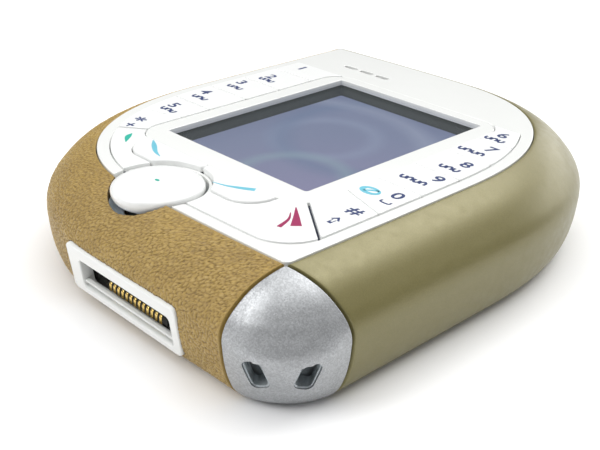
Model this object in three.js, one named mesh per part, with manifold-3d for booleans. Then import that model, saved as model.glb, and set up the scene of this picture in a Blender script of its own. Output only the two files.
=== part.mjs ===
// Leaf-shaped pocket handset with a colour display, a ring of keys and a navigation disc.
// Millimetres. +X is the handset's right, +Y its top, +Z out of the display.
// The origin is the centre of the flat back.
import * as THREE from 'three';
import { mergeVertices } from 'three/addons/utils/BufferGeometryUtils.js';
import Module from 'manifold-3d';

const wasm = await Module();
wasm.setup();

// ---------------------------------------------------------------- driving dimensions
const GAP = 0.3; // clearance between neighbouring pieces
const FACE = { a: 30.4, b: 35.7 }; // half width and half length of the flat face
const BULGE = { a: 7.8, b: 7.8 }; // how far the girth stands out past the face
const FACE_TOP = 17.95; // height of the white face
const KEY_TOP = 18.15; // height of the digit keys
const CALL_TOP = 18.1; // height of the send and end keys
const SOFT_TOP = 18.45; // height of the soft keys
const DISC_TOP = 18.6; // height of the navigation disc, the highest point
const GIRTH = 9; // height of the widest line
const FLOOR = { share: 0.395, thickness: 2 }; // flat plate of the back
const APEX = { x: 29.7, y: 34.9 }; // where the two seams of a tip meet on the face
const SEAM_RIGHT = 25; // plan direction of the seam beside the smooth cover, degrees
const SEAM_LEFT = -108; // plan direction of the seam beside the leather cover, degrees
const WINDOW = { x: 0.6, y: 0.75, w: 31.8, h: 39.2, top: 17.45 };
const BEZEL = { x0: -18.3, x1: 19.9, y0: -23.3, y1: 22.4, r: 4.5 };
const KEYS = { a: 28.4, b: 33.7, bottom: 16.5, corner: 6 }; // outline of the ring of keys
const ROWS = [21.8, 15.5, 7.7, -0.1, -8.15]; // lines between the digit keys
const DISC = { x: 0.9, y: -32.6, r: 6.5 };
const NOTCH_R = 7.6; // radius of the notch round the disc in the face
const COVER_NOTCH_R = 7.2; // radius of the tighter notch in the leather cover
const DISH_R = 6.7; // radius of the cup under the disc
const BATTERY = { x: 0, y: -5.5, w: 34, h: 53, z0: 1.9, z1: 7.4 };
const BOARD = { z0: 10.2, z1: 11.2 };
const PORT = { x: 6, z: 6.4, w: 25.6, h: 7.8, depth: 1.9, tilt: 8 }; // frame round the socket
const SOCKET = { x: 6.6, z: 5.8, w: 21, h: 4.4, wall: 0.6, back: -34.6 };
const FRONT_Y = -43.75; // front plane of the port frame
const CONTACTS = 13;
const CONTACT_PITCH = 0.98;

// Side profile as [height, share of the bulge, corner radius at the tip]
const SKIN = [
  [0, 0.52, 7.5],
  [0.5, 0.65, 8],
  [1.6, 0.8, 8.5],
  [3.4, 0.91, 8.8],
  [6, 0.975, 9],
  [GIRTH, 1, 9],
  [10.4, 1, 9],
  [11.3, 0.975, 8.7],
  [12.5, 0.895, 7.9],
  [13.8, 0.77, 6.8],
  [15.1, 0.62, 5.4],
  [16.2, 0.45, 3.8],
  [17, 0.28, 2.7],
  [17.55, 0.13, 1.7],
  [17.9, 0.015, 1],
];
const SKIN_INSIDE = [
  [-1, 0.44, 6],
  [1.6, 0.44, 6],
  [1.61, 0.55, 6],
  [3.6, 0.7, 7],
  [6, 0.77, 7.4],
  [10, 0.8, 7.4],
  [11.6, 0.7, 6.4],
  [13.4, 0.5, 4.6],
  [15, 0.26, 2.6],
  [16, 0.05, 1],
  [16.3, -0.03, 0.8],
  [19, -0.03, 0.8],
];
const CHASSIS_OUTSIDE = [
  [1.95, 0.49, 5.5],
  [3.7, 0.64, 6],
  [6, 0.715, 6.4],
  [10, 0.745, 6.4],
  [11.4, 0.65, 5.4],
  [13.2, 0.45, 3.6],
  [15.4, 0.12, 1.6],
];
const CHASSIS_WALL = 0.16; // share of the bulge taken by the chassis wall

// ---------------------------------------------------------------- materials
const material = (color, roughness, metalness = 0, opacity = 1) =>
  new THREE.MeshStandardMaterial({ color, roughness, metalness, opacity, transparent: opacity < 1 });

const white = material(0xf1f3ef, 0.22);
const keyWhite = material(0xf5f6f4, 0.3);
const leather = material(0xb0925a, 0.62);
const khaki = material(0xa39a68, 0.34, 0.25);
const silver = material(0xc9c9cd, 0.32, 0.7);
const darkPlastic = material(0x2b2d2c, 0.6);
const greyPlastic = material(0x8b8c88, 0.55);
const rubber = material(0xd8d9d4, 0.8);
const glass = material(0xdfe8e6, 0.05, 0, 0.3);
const screen = material(0x7d8aa6, 0.2);
const board = material(0x2f6b45, 0.6);
const tin = material(0xb9bab8, 0.35, 0.9);
const gold = material(0xc9a44a, 0.3, 0.95);
const batteryLabel = material(0x53585c, 0.6);

// ---------------------------------------------------------------- geometry helpers
const rad = THREE.MathUtils.degToRad;
const handset = new THREE.Group();

function solid(geometry) {
  const bare = geometry.index ? geometry.toNonIndexed() : geometry.clone();
  bare.deleteAttribute('normal');
  bare.deleteAttribute('uv');
  const merged = mergeVertices(bare, 1e-4);
  return new wasm.Manifold(new wasm.Mesh({
    numProp: 3,
    vertProperties: merged.attributes.position.array,
    triVerts: new Uint32Array(merged.index.array),
  }));
}

function add(name, shape, look) {
  const { vertProperties, triVerts } = shape.getMesh();
  const geometry = new THREE.BufferGeometry();
  geometry.setAttribute('position', new THREE.BufferAttribute(new Float32Array(vertProperties), 3));
  geometry.setIndex(new THREE.BufferAttribute(new Uint32Array(triVerts), 1));
  geometry.computeVertexNormals();
  const mesh = new THREE.Mesh(geometry, look);
  mesh.name = name;
  handset.add(mesh);
}

function box(x0, x1, y0, y1, z0, z1) {
  const geometry = new THREE.BoxGeometry(x1 - x0, y1 - y0, z1 - z0);
  geometry.translate((x0 + x1) / 2, (y0 + y1) / 2, (z0 + z1) / 2);
  return solid(geometry);
}

function block(x, y, w, h, z0, z1) {
  return box(x - w / 2, x + w / 2, y - h / 2, y + h / 2, z0, z1);
}

function disc(x, y, r, z0, z1, sides = 24) {
  const geometry = new THREE.CylinderGeometry(r, r, z1 - z0, sides);
  geometry.rotateX(Math.PI / 2);
  geometry.translate(x, y, (z0 + z1) / 2);
  return solid(geometry);
}

// A turned piece: profile points are [radius, height], closed on the axis.
function turned(x, y, profile, sides = 24) {
  const points = profile.map(([r, z]) => new THREE.Vector2(r, z));
  const geometry = new THREE.LatheGeometry(points, sides);
  geometry.rotateX(Math.PI / 2);
  geometry.translate(x, y, 0);
  return solid(geometry);
}

function prism(points, z0, z1) {
  const shape = new THREE.Shape(points.map(([x, y]) => new THREE.Vector2(x, y)));
  const geometry = new THREE.ExtrudeGeometry(shape, { depth: z1 - z0, bevelEnabled: false, steps: 1 });
  geometry.translate(0, 0, z0);
  return solid(geometry);
}

function roundedRect(x0, x1, y0, y1, r, steps = 4) {
  const points = [];
  const corners = [[x1 - r, y1 - r, 0], [x0 + r, y1 - r, 90], [x0 + r, y0 + r, 180], [x1 - r, y0 + r, 270]];
  for (const [cx, cy, start] of corners) {
    for (let i = 0; i <= steps; i++) {
      const angle = rad(start + (90 * i) / steps);
      points.push([cx + r * Math.cos(angle), cy + r * Math.sin(angle)]);
    }
  }
  return points;
}

// The leaf: two opposite quadrants are round and two end in a point.
// It looks the same after half a turn, so one half is drawn and repeated.
function leaf(a, b, cornerRadius) {
  const half = [];
  const roundSteps = 12;
  const edgeSteps = 3;
  const cornerSteps = 5;
  const squareness = 2 / 2.3;
  for (let i = 0; i < roundSteps; i++) {
    const t = (Math.PI / 2) * (i / roundSteps);
    half.push([a * Math.cos(t) ** squareness, b * Math.sin(t) ** squareness]);
  }
  const tipX = a - 0.3;
  const tipY = b - 0.7;
  const alongTop = (s) => [-s * tipX, b - (b - tipY) * s * s];
  const alongSide = (s) => [-(a - (a - tipX) * s * s), s * tipY];
  const sTop = 1 - cornerRadius / tipX;
  const sSide = 1 - cornerRadius / tipY;
  for (let i = 0; i < edgeSteps; i++) half.push(alongTop((sTop * i) / edgeSteps));
  const handle = 0.55;
  const pull = ([x, y]) => new THREE.Vector2(x + handle * (-tipX - x), y + handle * (tipY - y));
  const start = alongTop(sTop);
  const end = alongSide(sSide);
  const corner = new THREE.CubicBezierCurve(
    new THREE.Vector2(...start), pull(start), pull(end), new THREE.Vector2(...end));
  for (let i = 0; i < cornerSteps; i++) {
    const p = corner.getPoint(i / cornerSteps);
    half.push([p.x, p.y]);
  }
  for (let i = 0; i < edgeSteps; i++) half.push(alongSide(sSide * (1 - i / edgeSteps)));
  return [...half, ...half.map(([x, y]) => [-x, -y])];
}

const leafAt = (share, r) => leaf(FACE.a + BULGE.a * share, FACE.b + BULGE.b * share, r);

// Skins the outlines of a profile into one closed solid.
function loft(profile) {
  const rings = profile.map(([z, share, r]) => leafAt(share, r).map(([x, y]) => [x, y, z]));
  const count = rings[0].length;
  const positions = rings.flat(2);
  const index = [];
  for (let level = 0; level < rings.length - 1; level++) {
    for (let i = 0; i < count; i++) {
      const j = (i + 1) % count;
      const low = level * count;
      const high = low + count;
      index.push(low + i, low + j, high + j, low + i, high + j, high + i);
    }
  }
  const flat = (ring) => ring.map(([x, y]) => new THREE.Vector2(x, y));
  const lid = (rings.length - 1) * count;
  for (const [p, q, r] of THREE.ShapeUtils.triangulateShape(flat(rings[0]), [])) index.push(p, r, q);
  for (const [p, q, r] of THREE.ShapeUtils.triangulateShape(flat(rings.at(-1)), [])) {
    index.push(lid + p, lid + q, lid + r);
  }
  const geometry = new THREE.BufferGeometry();
  geometry.setAttribute('position', new THREE.BufferAttribute(new Float32Array(positions), 3));
  geometry.setIndex(index);
  return solid(geometry);
}

const union = (...shapes) => shapes.reduce((sum, shape) => sum.add(shape));
const cut = (shape, ...tools) => tools.reduce((rest, tool) => rest.subtract(tool), shape);
const along = ([x, y], degrees, length) => [
  x + length * Math.cos(rad(degrees)),
  y + length * Math.sin(rad(degrees)),
];
const mirrorX = (points) => points.map(([x, y]) => [-x, y]).reverse();

// ---------------------------------------------------------------- outer covers and tip caps
const FAR = 90;
const LOW = -5;
const HIGH = 25;
const skin = cut(loft(SKIN), loft(SKIN_INSIDE));

// A wedge of plan area behind the point of the leaf; sign +1 is lower right, -1 upper left.
function tipWedge(sign, shift) {
  const middle = (SEAM_RIGHT + SEAM_LEFT) / 2;
  const apex = along([APEX.x, -APEX.y], middle, shift);
  const points = [
    apex, along(apex, SEAM_LEFT, FAR), along(apex, middle, FAR * 2), along(apex, SEAM_RIGHT, FAR)];
  return prism(points.map(([x, y]) => [sign * x, sign * y]), LOW, HIGH);
}

// The plan area between the two tips; sign +1 is the lower left side, -1 the upper right.
function coverArea(sign) {
  const apex = [APEX.x, -APEX.y];
  const other = [-APEX.x, APEX.y];
  const points = [
    apex,
    other,
    along(other, SEAM_RIGHT + 180, FAR),
    [-FAR * 1.4, -FAR * 1.4],
    along(apex, SEAM_LEFT, FAR),
  ];
  return prism(points.map(([x, y]) => [sign * x, sign * y]), LOW, HIGH);
}

const discNotch = disc(DISC.x, DISC.y, COVER_NOTCH_R, 13.3, HIGH, 40);
const portCut = box(
  PORT.x - PORT.w / 2 - GAP, PORT.x + PORT.w / 2 + GAP, -60, -30,
  PORT.z - PORT.h / 2 - GAP, PORT.z + PORT.h / 2 + GAP);
const POWER = { x: -2, w: 9, h: 3, z: 9 };
const powerCut = box(
  POWER.x - POWER.w / 2 - GAP, POWER.x + POWER.w / 2 + GAP, 30, 60,
  POWER.z - POWER.h / 2 - GAP, POWER.z + POWER.h / 2 + GAP);

add('leather_cover', cut(skin.intersect(coverArea(1)), discNotch, portCut), leather);
add('satin_cover', cut(skin.intersect(coverArea(-1)), powerCut), khaki);

// Two slots beside each other go through the lower tip cap and meet behind it, for a wrist strap.
const TIP_MIDDLE = -3.7; // the tip's middle, measured along the +X+Y direction
const STRAP = { side: 3.1, z: 6.5, w: 2.3, h: 4.2, lean: 20, from: 46, depth: 16 };
const strapSlots = [-1, 1].map((side) => {
  const outline = roundedRect(-STRAP.w / 2, STRAP.w / 2, -STRAP.h / 2, STRAP.h / 2, 0.9);
  const across = (TIP_MIDDLE + side * STRAP.side) * Math.SQRT1_2;
  const out = STRAP.from * Math.SQRT1_2;
  return prism(outline, 0, STRAP.depth)
    .rotate([0, 0, -side * STRAP.lean])
    .rotate([90, 0, 45])
    .translate([across + out, across - out, STRAP.z]);
});
const SEAM_GAP = GAP * 1.15;
add('strap_tip_cap', cut(skin.intersect(tipWedge(1, SEAM_GAP)), ...strapSlots), silver);
add('upper_tip_cap', skin.intersect(tipWedge(-1, SEAM_GAP)), silver);

// The frame round the socket is held in the leather cover.
const portOpening = box(
  SOCKET.x - SOCKET.w / 2, SOCKET.x + SOCKET.w / 2, -60, -30,
  SOCKET.z - SOCKET.h / 2, SOCKET.z + SOCKET.h / 2);
const portOutline = roundedRect(-PORT.w / 2, PORT.w / 2, -PORT.h / 2, PORT.h / 2, 0.8);
const portBody = prism(portOutline, 0, PORT.depth).rotate([90 + PORT.tilt, 0, 0]);
const portExtent = portBody.boundingBox();
const portPlaced = portBody.translate([PORT.x, FRONT_Y - portExtent.min[1], PORT.z]);
const portBack = FRONT_Y + portExtent.max[1] - portExtent.min[1];
add('port_frame', cut(portPlaced, portOpening), white);

// ---------------------------------------------------------------- chassis and back
const TIP_SETBACK = 46.5; // distance from the centre to the chassis's cut corner
const tipCut = (setback) => {
  const direction = [Math.SQRT1_2, -Math.SQRT1_2];
  const base = [direction[0] * setback, direction[1] * setback];
  const side = [Math.SQRT1_2 * 40, Math.SQRT1_2 * 40];
  const out = [direction[0] * 40, direction[1] * 40];
  return prism([
    [base[0] - side[0], base[1] - side[1]],
    [base[0] - side[0] + out[0], base[1] - side[1] + out[1]],
    [base[0] + side[0] + out[0], base[1] + side[1] + out[1]],
    [base[0] + side[0], base[1] + side[1]],
  ], 1, HIGH);
};
const chassisInside = CHASSIS_OUTSIDE.map(
  ([z, share, r]) => [z, share - CHASSIS_WALL, Math.max(r - 1.5, 0.8)]);
chassisInside[0][0] = 1.5;
chassisInside.at(-1)[0] = 15.5;
const floorPlate = prism(leafAt(FLOOR.share, 5), 0, FLOOR.thickness);
const shell = cut(loft(CHASSIS_OUTSIDE), tipCut(TIP_SETBACK));
const hollow = cut(loft(chassisInside), tipCut(TIP_SETBACK - 1.3));
const bay = {
  x0: BATTERY.x - BATTERY.w / 2 - 0.4, x1: BATTERY.x + BATTERY.w / 2 + 0.4,
  y0: BATTERY.y - BATTERY.h / 2 - 0.4, y1: BATTERY.y + BATTERY.h / 2 + 0.4,
};
const bayWall = box(bay.x0 - 1.2, bay.x1 + 1.2, bay.y0 - 1.2, bay.y1 + 1.2, 1.4, 8.2);
const bayHollow = box(bay.x0, bay.x1, bay.y0, bay.y1, -1, 7.7);
const COVER_RIM = 2;
const backOpening = prism(
  roundedRect(bay.x0 - COVER_RIM, bay.x1 + COVER_RIM, bay.y0 - COVER_RIM, bay.y1 + COVER_RIM, 4), -1, 1.1);
const SIM = { x: 0, y: -8, w: 25, h: 15 };
const simWindow = block(SIM.x, SIM.y, SIM.w - 3, SIM.h - 3, 7, 9);
const CAMERA = { x: 9, y: 31, r: 5, bore: 3.2, window: 2.9 };
const SPEAKER = { x: -12, y: 31, r: 5.5, slotW: 6, slotH: 0.9, pitch: 2.4 };
const speakerSlots = [-1, 0, 1].map((i) => block(
  SPEAKER.x, SPEAKER.y + i * SPEAKER.pitch, SPEAKER.slotW, SPEAKER.slotH, -1, 3));
const SCREWS = [[24, 20], [-24, -20], [25, -27], [-25, 27]];
const SCREW = { r: 1, head: 1.7, sides: 16 };
const screwHoles = SCREWS.map(([x, y]) => union(
  disc(x, y, SCREW.r + GAP, -1, 12, SCREW.sides), disc(x, y, SCREW.head + GAP, -1, 0.9, SCREW.sides)));
const bosses = SCREWS.map(([x, y]) => disc(x, y, 2.5, 1.4, 9.9, SCREW.sides));
add('rear_chassis', cut(
  union(cut(union(floorPlate, shell), hollow), bayWall, ...bosses),
  bayHollow, backOpening, simWindow, disc(CAMERA.x, CAMERA.y, CAMERA.r + GAP, -1, 3),
  ...speakerSlots, ...screwHoles, portCut, powerCut,
  disc(DISC.x, DISC.y, NOTCH_R + GAP, 13.2, HIGH, 40)), greyPlastic);

add('battery_cover', prism(
  roundedRect(bay.x0 - COVER_RIM + GAP, bay.x1 + COVER_RIM - GAP, bay.y0 - COVER_RIM + GAP,
    bay.y1 + COVER_RIM - GAP, 4 - GAP), 0, 0.8), khaki);
add('battery', block(BATTERY.x, BATTERY.y, BATTERY.w, BATTERY.h, BATTERY.z0, BATTERY.z1), batteryLabel);
SCREWS.forEach(([x, y], i) => {
  const screw = turned(x, y, [
    [0, 0.2], [SCREW.head, 0.2], [SCREW.head, 0.6], [SCREW.r, 0.6], [SCREW.r, 12], [0, 12]], 12);
  add(`case_screw_${i + 1}`, screw, tin);
});

// ---------------------------------------------------------------- camera and sound
add('camera_bezel', cut(
  disc(CAMERA.x, CAMERA.y, CAMERA.r, 0, 1.6), disc(CAMERA.x, CAMERA.y, CAMERA.bore, -1, 3)), silver);
add('camera_window', disc(CAMERA.x, CAMERA.y, CAMERA.window, 0.3, 1.2), glass);
add('camera_module', union(
  block(CAMERA.x, CAMERA.y, 8, 8, 4.4, 9.6), disc(CAMERA.x, CAMERA.y, 3, 1.9, 4.5)), darkPlastic);
add('loudspeaker', disc(SPEAKER.x, SPEAKER.y, SPEAKER.r, 2.3, 5.2), darkPlastic);
const EARPIECE = { x: -15.5, y: 27.2 };
const earpieceOutline = roundedRect(
  EARPIECE.x - 6, EARPIECE.x + 6, EARPIECE.y - 2.6, EARPIECE.y + 2.6, 2.4);
add('earpiece', prism(earpieceOutline, 13.2, 15.3), darkPlastic);
add('microphone', disc(21, -30, 2, BOARD.z1 + GAP, BOARD.z1 + 2, 16), darkPlastic);
const MOTOR = { x: 24, y: 8, z: 5, r: 2.1, length: 11 };
const motor = new THREE.CylinderGeometry(MOTOR.r, MOTOR.r, MOTOR.length, 16);
motor.translate(MOTOR.x, MOTOR.y, MOTOR.z);
add('vibration_motor', solid(motor), tin);

// ---------------------------------------------------------------- electronics
const BOARD_LEAF = { a: 30.6, b: 36 };
const inBoard = (shape) => shape.intersect(prism(leaf(BOARD_LEAF.a, BOARD_LEAF.b, 3), 0, HIGH));
const boardHoles = SCREWS.map(([x, y]) => disc(x, y, SCREW.r + GAP, 9, 12, SCREW.sides));
add('main_board', cut(prism(leaf(BOARD_LEAF.a, BOARD_LEAF.b, 4), BOARD.z0, BOARD.z1), ...boardHoles), board);
const onBoard = BOARD.z1 + GAP;
add('radio_shield', inBoard(box(-22, -1.5, 2, 21, onBoard, 12.6)), tin);
add('power_shield', inBoard(box(1.5, 20, 2, 21, onBoard, 12.6)), tin);
add('processor', block(0, -9, 13, 13, onBoard, 12.4), darkPlastic);
add('antenna', box(-6, 13, 25.5, 33, onBoard, 14.2), gold);
add('sim_holder', cut(
  block(SIM.x, SIM.y, SIM.w + 3.4, SIM.h + 3.4, 8.5, 9.9),
  block(SIM.x, SIM.y, SIM.w + 2 * GAP, SIM.h + 2 * GAP, 8, 9.4),
  block(SIM.x, SIM.y, SIM.w - 4, SIM.h - 4, 8, 11)), tin);
add('sim_card', block(SIM.x, SIM.y, SIM.w, SIM.h, 8.5, 9.26), white);

// The socket: a metal shell, an insulating tongue and one comb of contacts.
const shellFront = portBack + GAP;
const socketBox = (grow, y0, y1) => box(
  SOCKET.x - SOCKET.w / 2 - grow, SOCKET.x + SOCKET.w / 2 + grow, y0, y1,
  SOCKET.z - SOCKET.h / 2 - grow, SOCKET.z + SOCKET.h / 2 + grow);
add('socket_shell', cut(
  socketBox(SOCKET.wall, shellFront, SOCKET.back),
  socketBox(0, shellFront - 1, SOCKET.back - SOCKET.wall)), tin);
const TONGUE = {
  x: SOCKET.x + 0.4, w: CONTACTS * CONTACT_PITCH + 0.4, front: FRONT_Y + 2.7, z0: 4.1, z1: 5.3 };
const tongueBlock = (y0, y1, z0, z1) => box(
  TONGUE.x - TONGUE.w / 2, TONGUE.x + TONGUE.w / 2, y0, y1, z0, z1);
add('socket_tongue', tongueBlock(TONGUE.front, SOCKET.back - 0.9, TONGUE.z0, TONGUE.z1), darkPlastic);
const COMB = { front: TONGUE.front - 0.5, z0: TONGUE.z1 + GAP, z1: TONGUE.z1 + 0.6, finger: 0.5 };
const combParts = [tongueBlock(SOCKET.back - 2, SOCKET.back - 1.2, COMB.z0, COMB.z1)];
for (let i = 0; i < CONTACTS; i++) {
  const x = TONGUE.x + (i - (CONTACTS - 1) / 2) * CONTACT_PITCH;
  const finger = (y1, z0) => box(x - COMB.finger / 2, x + COMB.finger / 2, COMB.front, y1, z0, COMB.z1);
  combParts.push(finger(SOCKET.back - 1.9, COMB.z0), finger(COMB.front + 0.2, TONGUE.z0));
}
add('contact_comb', union(...combParts), gold);

// ---------------------------------------------------------------- display
const opening = (grow, z0, z1, r = 1) => prism(
  roundedRect(WINDOW.x - WINDOW.w / 2 - grow, WINDOW.x + WINDOW.w / 2 + grow,
    WINDOW.y - WINDOW.h / 2 - grow, WINDOW.y + WINDOW.h / 2 + grow, r), z0, z1);
add('window_lens', opening(1, WINDOW.top - 0.8, WINDOW.top, 1.5), glass);
add('display_gasket', cut(opening(1.5, 15.2, WINDOW.top - 1.1, 1.5), opening(0.4, 14, 18)), darkPlastic);
add('display_panel', opening(1.9, 13.9, 14.9), screen);
add('display_frame', cut(opening(2.9, 12.9, 14.6, 1.5), opening(2.2, 13.6, 20)), tin);

// ---------------------------------------------------------------- white face
const bezelOutline = roundedRect(BEZEL.x0, BEZEL.x1, BEZEL.y0, BEZEL.y1, BEZEL.r);
const bezelGap = roundedRect(BEZEL.x0 - GAP, BEZEL.x1 + GAP, BEZEL.y0 - GAP, BEZEL.y1 + GAP, BEZEL.r + GAP);
add('window_bezel', cut(prism(bezelOutline, 16.4, FACE_TOP + 0.05), opening(0, 10, HIGH),
  opening(1 + GAP, 10, WINDOW.top + 0.15, 1.5)), white);

const keyRing = (grow) => prism(leaf(KEYS.a + grow, KEYS.b + grow, KEYS.corner), 10, HIGH);
const keyTop = ROWS[0];
const above = (y) => box(-60, 60, y, 60, 0, HIGH);
const EAR_SLOT = { w: 3.2, h: 1, r: 0.45, pitch: 4 };
const earSlots = [-1, 0, 1].map((i) => {
  const x = EARPIECE.x + i * EAR_SLOT.pitch;
  return prism(roundedRect(x - EAR_SLOT.w / 2, x + EAR_SLOT.w / 2,
    EARPIECE.y - EAR_SLOT.h / 2, EARPIECE.y + EAR_SLOT.h / 2, EAR_SLOT.r), 15, HIGH);
});
add('faceplate', cut(
  prism(leaf(FACE.a - 0.45, FACE.b - 0.45, 1), 15.7, FACE_TOP),
  prism(leaf(FACE.a - 1.6, FACE.b - 1.6, 2), 15, 16.4),
  cut(keyRing(0), above(keyTop + GAP)), prism(bezelGap, 10, HIGH), ...earSlots,
  disc(DISC.x, DISC.y, NOTCH_R, 10, HIGH, 40)), white);

// ---------------------------------------------------------------- keys
const ringBody = cut(
  keyRing(-GAP), prism(bezelGap, 10, HIGH), disc(DISC.x, DISC.y, NOTCH_R + GAP, 10, HIGH, 40));
const slice = (points, top) => ringBody.intersect(prism(points, KEYS.bottom, top));
const HALF_GAP = GAP / 2;
// Lines that slope between the last keys of the right column, inner end first.
const HASH_LINE = [[17, -13.4], [21.8, -14.95], [31, -17.7]];
const CALL_LINE = [[12.2, -16], [34, -31.9]];
const shifted = (line, dy) => line.map(([x, y]) => [x, y + dy]);
const strip = (low, high) => [[10, low], [40, low], [40, high], [10, high]];
const rightKeys = {
  key_6: strip(ROWS[1] + HALF_GAP, ROWS[0]),
  key_7: strip(ROWS[2] + HALF_GAP, ROWS[1] - HALF_GAP),
  key_8: strip(ROWS[3] + HALF_GAP, ROWS[2] - HALF_GAP),
  key_9: strip(ROWS[4] + HALF_GAP, ROWS[3] - HALF_GAP),
  key_0: [...shifted(HASH_LINE, HALF_GAP), [31, ROWS[4] - HALF_GAP], [17, ROWS[4] - HALF_GAP]],
  key_hash: [...shifted(CALL_LINE, HALF_GAP), ...shifted(HASH_LINE, -HALF_GAP).reverse()],
};
const leftNames = ['key_1', 'key_2', 'key_3', 'key_4', 'key_5', 'key_star'];
Object.entries(rightKeys).forEach(([name, outline], i) => {
  add(leftNames[i], slice(mirrorX(outline), KEY_TOP), keyWhite);
  add(name, slice(outline, KEY_TOP), keyWhite);
});

// The soft keys hang from the bezel's lower edge; the call keys fill what is left round them.
const SOFT_KEY = { right: 15.7, low: -28.8, high: -15, corner: 4.5 };
const softTab = (grow) => roundedRect(DISC.x + HALF_GAP - grow, SOFT_KEY.right + grow,
  SOFT_KEY.low - grow, SOFT_KEY.high, SOFT_KEY.corner + grow);
const callArea = [
  [DISC.x + HALF_GAP, -60], [60, -60], [60, -50.1],
  ...shifted(CALL_LINE, -HALF_GAP).reverse(), [DISC.x + HALF_GAP, -8],
];
const aboutDisc = (points) => points.map(([x, y]) => [2 * DISC.x - x, y]).reverse();
const softCut = prism(softTab(GAP), 10, HIGH);
const softCutLeft = prism(aboutDisc(softTab(GAP)), 10, HIGH);
add('soft_key_right', slice(softTab(0), SOFT_TOP), keyWhite);
add('soft_key_left', slice(aboutDisc(softTab(0)), SOFT_TOP), keyWhite);
add('end_key', cut(slice(callArea, CALL_TOP), softCut), keyWhite);
add('send_key', cut(slice(aboutDisc(callArea), CALL_TOP), softCutLeft), keyWhite);

const matHole = [opening(3.3, 10, HIGH, 1.5), above(24.5), disc(DISC.x, DISC.y, NOTCH_R + GAP, 10, HIGH, 40)];
add('key_mat', cut(prism(leaf(28.5, 33.8, 3), 15.7, 16.05), ...matHole), rubber);
add('keypad_board', cut(prism(leaf(29.3, 34.4, 3), 14.8, 15.3), ...matHole), board);

// ---------------------------------------------------------------- navigation disc
add('nav_dish', cut(
  disc(DISC.x, DISC.y, DISH_R, 13.6, 14.9, 40), disc(DISC.x, DISC.y, DISH_R - 0.45, 14.2, 20, 40),
  disc(DISC.x, DISC.y, 2.2, 13, 15)), glass);
add('nav_switch', cut(
  block(DISC.x, DISC.y, 9, 9, onBoard, 13.2), disc(DISC.x, DISC.y, 1.9, 11.8, 15)), darkPlastic);
add('nav_stem', turned(DISC.x, DISC.y, [
  [0, 12.1], [1.3, 12.1], [1.3, 12.7], [0.9, 13], [0.9, 15.1], [0, 15.1]], 16), greyPlastic);
add('nav_hub', disc(DISC.x, DISC.y, 2.9, 15.4, 16.1), greyPlastic);
add('nav_disc', turned(DISC.x, DISC.y, [
  [0, 16.5], [3.3, 16.5], [3.3, 15.5], [DISC.r - 0.7, 15.5], [DISC.r - 0.1, 16.1], [DISC.r, 17],
  [DISC.r - 0.3, 17.8], [DISC.r - 0.9, 18.35], [DISC.r - 1.8, DISC_TOP], [0, DISC_TOP]], 36), keyWhite);

// ---------------------------------------------------------------- power key
const powerBack = 42.1;
add('power_key', box(POWER.x - POWER.w / 2, POWER.x + POWER.w / 2, powerBack, -FRONT_Y,
  POWER.z - POWER.h / 2, POWER.z + POWER.h / 2), silver);
const SWITCH = { y: 33.4, w: 6, d: 4, z0: 8.1, z1: 9.9, plunger: 1 };
add('power_switch', union(
  block(POWER.x, SWITCH.y, SWITCH.w, SWITCH.d, SWITCH.z0, SWITCH.z1),
  box(POWER.x - SWITCH.plunger, POWER.x + SWITCH.plunger, SWITCH.y + 1.6, powerBack - 2 * GAP,
    SWITCH.z0 + GAP, SWITCH.z1 - 0.5)), darkPlastic);

export default handset;
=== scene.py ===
"""Looks for a leaf-shaped pocket handset. Lengths in the helpers are millimetres."""

import math

import bpy
import numpy as np
from mathutils import Euler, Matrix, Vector
from mathutils.geometry import delaunay_2d_cdt


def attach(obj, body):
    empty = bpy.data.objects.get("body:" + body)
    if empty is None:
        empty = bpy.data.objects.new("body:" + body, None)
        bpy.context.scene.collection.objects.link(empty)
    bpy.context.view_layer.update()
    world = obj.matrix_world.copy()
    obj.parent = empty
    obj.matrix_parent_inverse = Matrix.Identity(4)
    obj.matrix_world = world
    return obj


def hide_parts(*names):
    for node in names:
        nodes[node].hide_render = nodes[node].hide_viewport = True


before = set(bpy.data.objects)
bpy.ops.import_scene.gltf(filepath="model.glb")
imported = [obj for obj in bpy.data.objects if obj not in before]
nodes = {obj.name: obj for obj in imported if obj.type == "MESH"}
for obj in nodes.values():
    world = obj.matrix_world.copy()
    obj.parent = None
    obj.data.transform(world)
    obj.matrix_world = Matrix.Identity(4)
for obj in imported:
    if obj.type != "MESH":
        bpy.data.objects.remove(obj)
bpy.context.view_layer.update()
MM = 0.001


def new_object(name, data):
    obj = bpy.data.objects.new(name, data)
    bpy.context.scene.collection.objects.link(obj)
    return obj


# ---------------- camera
camera = new_object("camera", bpy.data.cameras.new("camera"))
camera.data.lens = 58.86
camera.data.sensor_width = 36
camera.data.clip_start = 0.01
camera.location = (0.10533, -0.10445, 0.07362)
camera.rotation_euler = Euler([math.radians(v) for v in (63.76, -0.70, 46.78)])
bpy.context.scene.camera = camera

# ---------------- the part's own dimensions
FACE_A, FACE_B, BULGE = 30.4, 35.7, 7.8
FACE_TOP, KEY_TOP, CALL_TOP, SOFT_TOP, DISC_TOP = 17.95, 18.15, 18.1, 18.45, 18.6
FACE_FOOT, KEY_FOOT, BEZEL_FOOT, WELL_FLOOR, SEAL_FOOT, SEAL_TOP = 15.8, 16.5, 17.0, 14.95, 16.1, 17.5
KEY_GAP, TAB_GAP = 0.12, 0.14
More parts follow.
